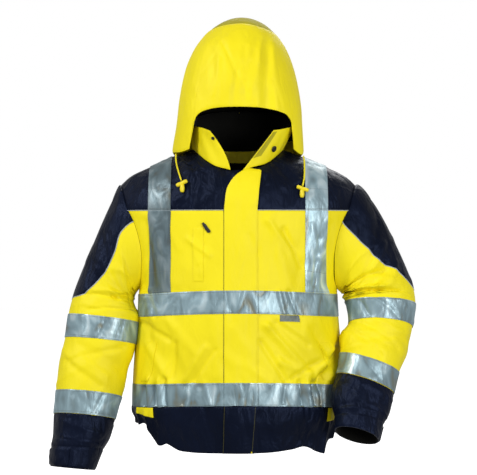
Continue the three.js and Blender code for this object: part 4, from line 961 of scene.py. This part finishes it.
# Hood sections: z, middle, half width, front y, back y, squareness.
hoodSections = [
    (-30, -1, 149, -92, 86, 0.78),
    (0, 0, 147, -100, 92, 0.78),
    (56, 3, 141, -113, 116, 0.78),
    (94, 4, 138, -117, 125, 0.82),
    (124, 4, 134, -117, 128, 0.86),
    (180, 4, 122, -111, 126, 0.92),
    (225, 5, 104, -99, 115, 0.97),
    (256, 6, 83, -80, 99, 1),
    (274, 7, 65, -62, 84, 1),
    (286, 8, 48, -43, 67, 1),
    (295, 8, 28, -18, 44, 1),
    (299, 8, 12, 2, 27, 1),
    (300, 8, 0, 14, 14, 1),
]
# Edge of the hood, and the seam of its crown: turn and z.
hoodEdge = [
    (-180, -20), (-150, -22), (-128, -21), (-108, -13), (-90, -6), (-62, -8), (-41.5, -1), (-41.2, 52), (-37.5, 72),
    (-30, 81), (-17, 87), (0, 89), (17, 87), (31, 81), (42, 75), (48, 66), (52.5, 52), (53.2, -1), (72, -12), (90, -8),
    (108, -14), (128, -21), (150, -22), (180, -20),
]
crownSeam = [(-180, 262), (-90, 268), (0, 279), (90, 261), (180, 262)]
# Upright folds of the hood: x and z at the bottom, x and z at the top, width, height.
hoodFolds = [
    (66, 100, 60, 240, 16, -6), (30, 190, 40, 260, 14, -3), (-20, 95, -35, 240, 22, 4), (100, 60, 95, 200, 18, 4),
    (45, 98, 50, 200, 7, 2.4), (-60, 100, -70, 220, 10, 2.4), (84, 90, 78, 230, 8, 2.8), (10, 98, 6, 180, 8, 2.0),
    (-2, 160, -30, 222, 5, -3.2), (-12, 108, -3, 158, 4.5, -2.6), (-40, 104, -44, 190, 6, 2.4),
    (34, 140, 52, 236, 9, 3),
]
hoodCreases = strewCreases(34, (-110, 110, 60, 260), 88, 16, (25, 80), (4, 9), (0.5, 1.6))


# Hood: a rounded plan for each height, deeper behind than in front, with upright folds on its front.
def hoodSurface(turn, z):
    middle, half, front, back, square = (lookUp(hoodSections, k, z) for k in range(1, 6))
    angle = np.radians(turn)
    sine, cosine = np.sin(angle), np.cos(angle)
    pole = hoodTop["y"] + ((front + back) / 2 - hoodTop["y"]) * smooth(hoodTop["z"], 200, z)
    reach = np.where(cosine > 0, pole - front, back - pole)
    x = middle + half * signedPower(sine, square)
    y = pole - reach * signedPower(cosine, square)
    lift = np.zeros_like(x)
    for x1, z1, x2, z2, width, height in hoodFolds:
        past = np.maximum(0, np.maximum(z1 - z, z - z2))
        line = x1 + (z - z1) / (z2 - z1) * (x2 - x1)
        lift += height * np.exp(-(((x - line) / width) ** 2) - (past / 30) ** 2)
    lift += foldHeight(hoodCreases, x, z)
    y -= np.where(cosine > 0, lift * cosine * (1 - smooth(240, 272, z)), 0)
    return np.stack(np.broadcast_arrays(x, y, z), axis=-1)


faceTurns = np.sort(np.concatenate([steps(-100, 100, 110, 0.002), [-44, -43, -42, -41, 52, 53, 54, 55]]))
for node, turns in (("hood", faceTurns), ("hood_back", steps(100.1, 259.9, 60, 0.003))):
    wrapped = (turns + 180) % 360 - 180
    low, high = lookUp(hoodEdge, 1, wrapped), lookUp(crownSeam, 1, wrapped)
    surface = hoodSurface(turns, low + (high - low) * steps(0, 0.999, 80, 0.006)[:, None])
    sewnPiece(node + "_cloth", surface, 1, 0.3, -2.4, ["yellowCloth"], node, dip=1.0)

# Crown and lining: closed round and at the top. The lining starts inside, well over the edge of the hood.
closedTop = dict(closed=True, pole=True)
liningRise = dict(all=42, more=34, turn=55, spread=16)
turns = np.linspace(-180, 180, 121)
low = lookUp(crownSeam, 1, turns)
parts = np.concatenate([[0.002, 0.01, 0.03], np.linspace(0.08, 0.97, 18), [0.99, 0.999]])[:, None]
crown = hoodSurface(turns, low + (hoodTop["z"] - low) * parts)
# The crown is coloured with painted shade: the darker yellow of the same cloth.
sewnPiece("hood_crown_cloth", crown, 1, -0.7, -3.2, ["shadedYellow"], "hood_crown", **closedTop)
bell = np.exp(-(((np.abs(turns) - liningRise["turn"]) / liningRise["spread"]) ** 2))
low = lookUp(hoodEdge, 1, turns) + liningRise["all"] + liningRise["more"] * bell
lining = hoodSurface(turns, low + (hoodTop["z"] - 0.1 - low) * np.linspace(0, 0.999, 50)[:, None] ** 0.9)
sewnPiece("hood_lining_cloth", lining, 1, -5.0, -6.4, ["blackFleece"], "hood_lining", dip=0, **closedTop)
print("hood made")


# Distance along a path of each of its points.
def lengthsAlong(path):
    return np.concatenate([[0], np.cumsum(np.linalg.norm(np.diff(path, axis=0), axis=1))])


# Rings of points round a path, joined into one closed piece.
def ringedPiece(name, path, across, other, radii, slot, count, node):
    angle = np.linspace(0, 2 * np.pi, count, endpoint=False)[:, None]
    ring = across[..., None, :] * np.cos(angle) + other[..., None, :] * np.sin(angle)
    points = path[:, None] + ring * radii[:, None, None]
    around = np.tile(angle.ravel() / (2 * np.pi) * 11, len(path))
    uvs = np.stack([around, np.repeat(lengthsAlong(path), count)], axis=-1)
    return finishMesh(name, points.reshape(-1, 3), ringFaces(len(path), count), uvs, [slot], node=node)


# Round bar along a path, square to it everywhere.
def roundBar(name, path, radii, slot, node=None, count=16):
    along = unit(np.gradient(path, axis=0))
    helper = (1.0, 0, 0) if abs(along[0][0]) < 0.8 else (0, 0, 1.0)
    across = unit(np.cross(helper, along))
    radii = np.broadcast_to(radii, len(path))
    return ringedPiece(name, path, across, np.cross(along, across), radii, slot, count, node)


rim = collarSurface(np.linspace(2.6, 11.2, 160), 1.0)
rim[:, :2] *= 0.994
roundBar("collar_rim_fleece", rim, 2.7, "blackFleece", count=10)


# Smooth path through a few places, by the same cubic curve as the tables.
def smoothPath(places, count):
    places = np.asarray(places, float)
    marks = lengthsAlong(places)
    at = np.linspace(0, marks[-1], count)
    return np.stack([track(marks, places[:, k], at) for k in range(3)], axis=-1)


cords = {
    "right": dict(
        places=[(-138, -58, -12.5), (-137.5, -70, -24), (-135, -84, -38), (-130, -101, -55), (-124, -118, -72.4)],
        barFrom=(-135, -122, -84), barTo=(-111, -122, -73), bell=(-121.8, -122.4, -80.6), down=(0, -0.12, -1),
    ),
    "left": dict(
        places=[(145, -62, -17), (146.5, -76, -30), (146.5, -88, -45), (145.5, -103, -63), (141.2, -118, -84.2)],
        barFrom=(128, -122, -85.5), barTo=(154, -122, -94.5), bell=(139.8, -122.4, -92), down=(-0.02, -0.12, -1),
    ),
}
# Turned shapes, place and radius: the bell at a cord's end, and the cord lock along its length.
bellProfile = [(0, 2.6), (1, 4.2), (4, 4.7), (9, 5.2), (13, 5.0), (16, 4.2), (17.6, 3.2), (18, 2.2)]
barProfile = [
    (0, 2.6), (0.05, 3.8), (0.14, 4.3), (0.36, 4.4), (0.42, 3.9), (0.58, 3.9), (0.64, 4.4), (0.86, 4.3), (0.95, 3.8),
    (1, 2.6),
]
for name, cord in cords.items():
    path = smoothPath(cord["places"], 40)
    cordPiece = roundBar(f"drawcord_{name}_braid", path, 1.75, "braidedCord", "drawcord_" + name)
    start, end, top, down = (np.array(cord[key], float) for key in ("barFrom", "barTo", "bell", "down"))
    bar = start + (end - start) * column(barProfile, 0)[:, None]
    radii = column(barProfile, 1)
    lockPiece = roundBar(f"cord_lock_{name}_barrel", bar, radii, "yellowPlastic", "cord_lock_" + name, 20)
    bell = top + unit(down) * column(bellProfile, 0)[:, None]
    bellPiece = roundBar(f"cord_end_{name}_bell", bell, column(bellProfile, 1), "yellowPlastic", count=20)
print("cords made")

# Press studs on the collar: a low cap with a dished middle.
# Each has its place along the collar, its place up the collar, its radius and its height over the cloth.
studs = [("stud_right", 0.24, 0.79, 3.8, 0.8), ("stud_left", 13.05, 0.43, 7.0, 1.7)]
for name, u, height, radius, lift in studs:
    corner = collarSurface(np.array([[u - 0.02, u + 0.02]]), np.array([[height - 0.01], [height + 0.01]]))
    normal = unit(-np.cross(corner[0, 1] - corner[0, 0], corner[1, 0] - corner[0, 0]))
    base = corner.mean(axis=(0, 1)) + normal * lift
    profile = [(0, radius), (0.9, radius), (1.5, radius * 0.9), (1.9, radius * 0.62), (1.6, radius * 0.45), (1.5, 0.3)]
    path = base + normal * column(profile, 0)[:, None]
    across = unit(np.cross(normal, (0, 0, 1.0)))
    other = np.cross(across, normal)
    ringedPiece(name + "_cap", path, across, other, column(profile, 1), "blackPlastic", 28, name)


# A strip of cloth on the front of the trunk.
def chartStrip(name, node, x, z, heights, slot, **more):
    sewnPiece(name, frontSurface(np.atleast_2d(x), z[:, None] - yokeSeamZ), 1, *heights, [slot], node, **more)


soft = dict(dip=0.5, dipWidth=1.5)
chartStrip("chest_pocket_cover", "chest_pocket_welt", steps(-98, -75, 10, 0.03), steps(-296, -176, 40, 0.008),
           (1.5, 0.35), "yellowCloth", **soft)
chartStrip("id_tab_patch", "id_tab", steps(90, 133, 14, 0.02), steps(-382, -368.4, 6, 0.04), (1.3, 0.4), "greyTab",
           dip=0.3, dipWidth=1)
# Outer edge of the side pockets: z and distance from the middle.
pocketLine = [(-510, 215), (-498, 212.5), (-480, 208.5), (-460, 205), (-440, 202), (-424, 199)]
for name, side in sides:
    z = steps(-510, -424, 30, 0.01)
    inset = steps(20, 0, 10, 0.03) if side > 0 else steps(0, 20, 10, 0.03)
    x = side * (lookUp(pocketLine, 1, z)[:, None] - inset)
    chartStrip(f"pocket_welt_{name}_cloth", "pocket_welt_" + name, x, z, (1.9, 0.4), "yellowCloth", **soft)
    first, last = (-71, -52) if side < 0 else (57, 65.34)
    surface = hemSurface(steps(first, last, 20, 0.02), steps(0.02, 0.32, 10, 0.03)[:, None])
    sewnPiece(f"pocket_end_{name}_cloth", surface, -1, 2.0, 0.6, ["yellowCloth"], "pocket_end_" + name, **soft)
print("small cloth pieces made")

# Chest pocket zip: slider body and a ribbed pull tab.
zipPull = dict(hinge=(-75, -139.41, -168), tilt=36, width=7.6, depth=2.2, length=22, ribs=6)


# Ribbed tab: a rounded box whose width and depth swell at each rib, carried along its length.
def ribbedTab(name, node, base, along, across, length, width, depth, ribs, body):
    t = np.linspace(0, 1, 61)[:, None]
    angle = np.linspace(0, 2 * np.pi, 24, endpoint=False)[None, :]
    end = np.clip(np.minimum(t, 1 - t) / 0.06, 0.05, 1) ** 0.5
    rib = 1 - 0.22 * (0.5 + 0.5 * np.cos(2 * np.pi * ribs * t)) * smooth(0.12, 0.2, t) * smooth(1, 0.92, t)
    wide = width / 2 * end * signedPower(np.cos(angle), 0.5)
    deep = depth / 2 * end * rib * signedPower(np.sin(angle), 0.5)
    normal = np.cross(along, across)
    points = base + along * (t * length)[..., None] + across * wide[..., None] + normal * deep[..., None]
    flat = points.reshape(-1, 3)
    finishMesh(name, flat, ringFaces(len(points), 24), flat[:, ::2], ["blackPlastic"], body=body, node=node)


tilt = math.radians(zipPull["tilt"])
along = np.array([math.sin(tilt), 0, -math.cos(tilt)])
across = np.array([math.cos(tilt), 0, math.sin(tilt)])
hinge = np.array(zipPull["hinge"], float)
ribbedTab("zip_pull_tab", "zip_pull", hinge + along * 0.5, along, across, zipPull["length"], zipPull["width"],
          zipPull["depth"], zipPull["ribs"], "pull")
ribbedTab("zip_slider_body", "zip_slider", hinge + np.array([-2, 0.8, 3]), along, across, 8, 5.5, 2.6, 0, "jacket")


# Piping and stitching: a thin round cord laid along a line.
def pipeAlong(name, points, radius, slot="greyPiping"):
    roundBar(name, points, radius, slot, count=8)


pipedZ = yokeSeamZ - 0.2
for name, side in sides:
    start = math.degrees(math.asin((flapEdge[name] + 0.5) / shoulderHalfWidth))
    turn = side * np.linspace(start, float(turnAtSide(yokeSeamZ, True)), 90)
    pipeAlong("yoke_piping_front_" + name, trunkSurface(turn, pipedZ), 0.9)
    t = np.linspace(0.02, sleeves[name]["tipAt"], 120)
    spread = lookUp(sleeves[name]["panel"], 1, t)
    for edge, label in ((1, "front"), (-1, "back")):
        pipeAlong(f"panel_piping_{label}_{name}", sleeveSurface(name, edge * spread, t), 1.25)
half = float(turnAtSide(yokeSeamZ, False))
pipeAlong("yoke_piping_back", trunkSurface(np.linspace(180 - half, 180 + half, 180), pipedZ), 0.9)

# A dark bar beside the storm flap, from its curve down to the hem: painted shadow under the flap's edge. Then dark
# olive stitch rows on the hem, the yellow thread in painted shade, and dark stitching along the pocket.
edgeV = np.linspace(-429, 60, 160)
edge = frontSurface(lookUp(flapEdges, 1, edgeV) - 0.6, edgeV)
pipeAlong("flap_edge_shadow", edge + [0, -0.5, 0], 0.75, "threadAndShadowLine")
for label, turnAt in (("right", -7.1), ("left", 9.2)):
    row = hemSurface(turnAt, np.linspace(0.02, 0.99, 40)) + [0, -2.9, 0]
    pipeAlong("hem_stitching_" + label, row, 0.42, "threadAndShadowLine")
row = hemSurface(8.8, np.array([0.955, 0.995])) + [0, -3.2, 0]
pipeAlong("hem_bartack", np.linspace(row[0], row[1], 4), 1.5, "yellowThread")
for label, turnAt in (("right", -90.0), ("left", 90.0)):
    pipeAlong("hem_side_seam_" + label, hemSurface(turnAt, np.linspace(0.0, 0.985, 30)), 2.3, "navyCloth")
    seam = trunkSurface(turnAt, np.linspace(hemSeamZ, -300, 60))
    pipeAlong("trunk_side_seam_" + label, seam, 1.0, "yellowCloth")
z = np.linspace(-506, -428, 40)
edge = frontSurface(1.0 - lookUp(pocketLine, 1, z), z - yokeSeamZ)
pipeAlong("pocket_stitching", edge + [0, -2.0, 0], 0.4, "threadAndShadowLine")
print("piping made")

# Floor and soft light.
floorLook = {
    "Base Color": (0.86, 0.86, 0.86, 1), "Roughness": 1.0, "Specular IOR Level": 0.0, "Emission Color": (1, 1, 1, 1),
    "Emission Strength": 0.75,
}
floorSize, floorZ = 12, -0.86
floorMesh = bpy.data.meshes.new("studioFloor")
corners = [(x * floorSize, y * floorSize, floorZ) for x, y in ((-1, -1), (1, -1), (1, 1), (-1, 1))]
floorMesh.from_pydata(corners, [], [(0, 1, 2, 3)])
floorMaterial = bpy.data.materials.new("paleFloor")
floorMaterial.use_nodes = True
setInputs(floorMaterial.node_tree, floorMaterial.node_tree.nodes["Principled BSDF"], floorLook)
floorMesh.materials.append(floorMaterial)
floor = addObject("studioFloor", floorMesh)
floor.visible_diffuse = False
floor.visible_glossy = False

# The world lights the jacket less than it shows behind it.
white = (1, 1, 1, 1)
ambientStrength = 0.40
world = bpy.data.worlds.new("paleStudio")
world.use_nodes = True
tree = world.node_tree
ambient = tree.nodes["Background"]
setInputs(tree, ambient, {"Color": white, "Strength": ambientStrength})
backdrop = addNode(tree, "ShaderNodeBackground", {"Color": white})
rays = addNode(tree, "ShaderNodeLightPath")
choice = addNode(tree, "ShaderNodeMixShader", {
    0: rays.outputs["Is Camera Ray"], 1: ambient.outputs[0], 2: backdrop.outputs[0],
})
setInputs(tree, tree.nodes["World Output"], {"Surface": choice.outputs[0]})
bpy.context.scene.world = world
bpy.context.scene.view_settings.view_transform = "Standard"

lamps = [
    dict(name="keyLight", place=(-2.5, -1.9, 1.7), aim=(0, 0, -0.2), power=68, size=0.7),
    dict(name="fillLight", place=(1.7, -3.0, -0.1), aim=(0, 0, -0.25), power=60, size=1.1),
    dict(name="backLight", place=(0.6, 2.8, 2.0), aim=(0, 0, -0.1), power=40, size=2.0),
]
for lamp in lamps:
    data = bpy.data.lights.new(lamp["name"], "AREA")
    data.energy = lamp["power"]
    data.size = lamp["size"]
    lampObject = addObject(lamp["name"], data)
    lampObject.location = lamp["place"]
    direction = np.array(lamp["aim"]) - np.array(lamp["place"])
    flat = math.hypot(direction[0], direction[1])
    lampObject.rotation_euler = (math.atan2(flat, -direction[2]), 0, math.atan2(direction[0], -direction[1]) + math.pi)
print("floor and light made")
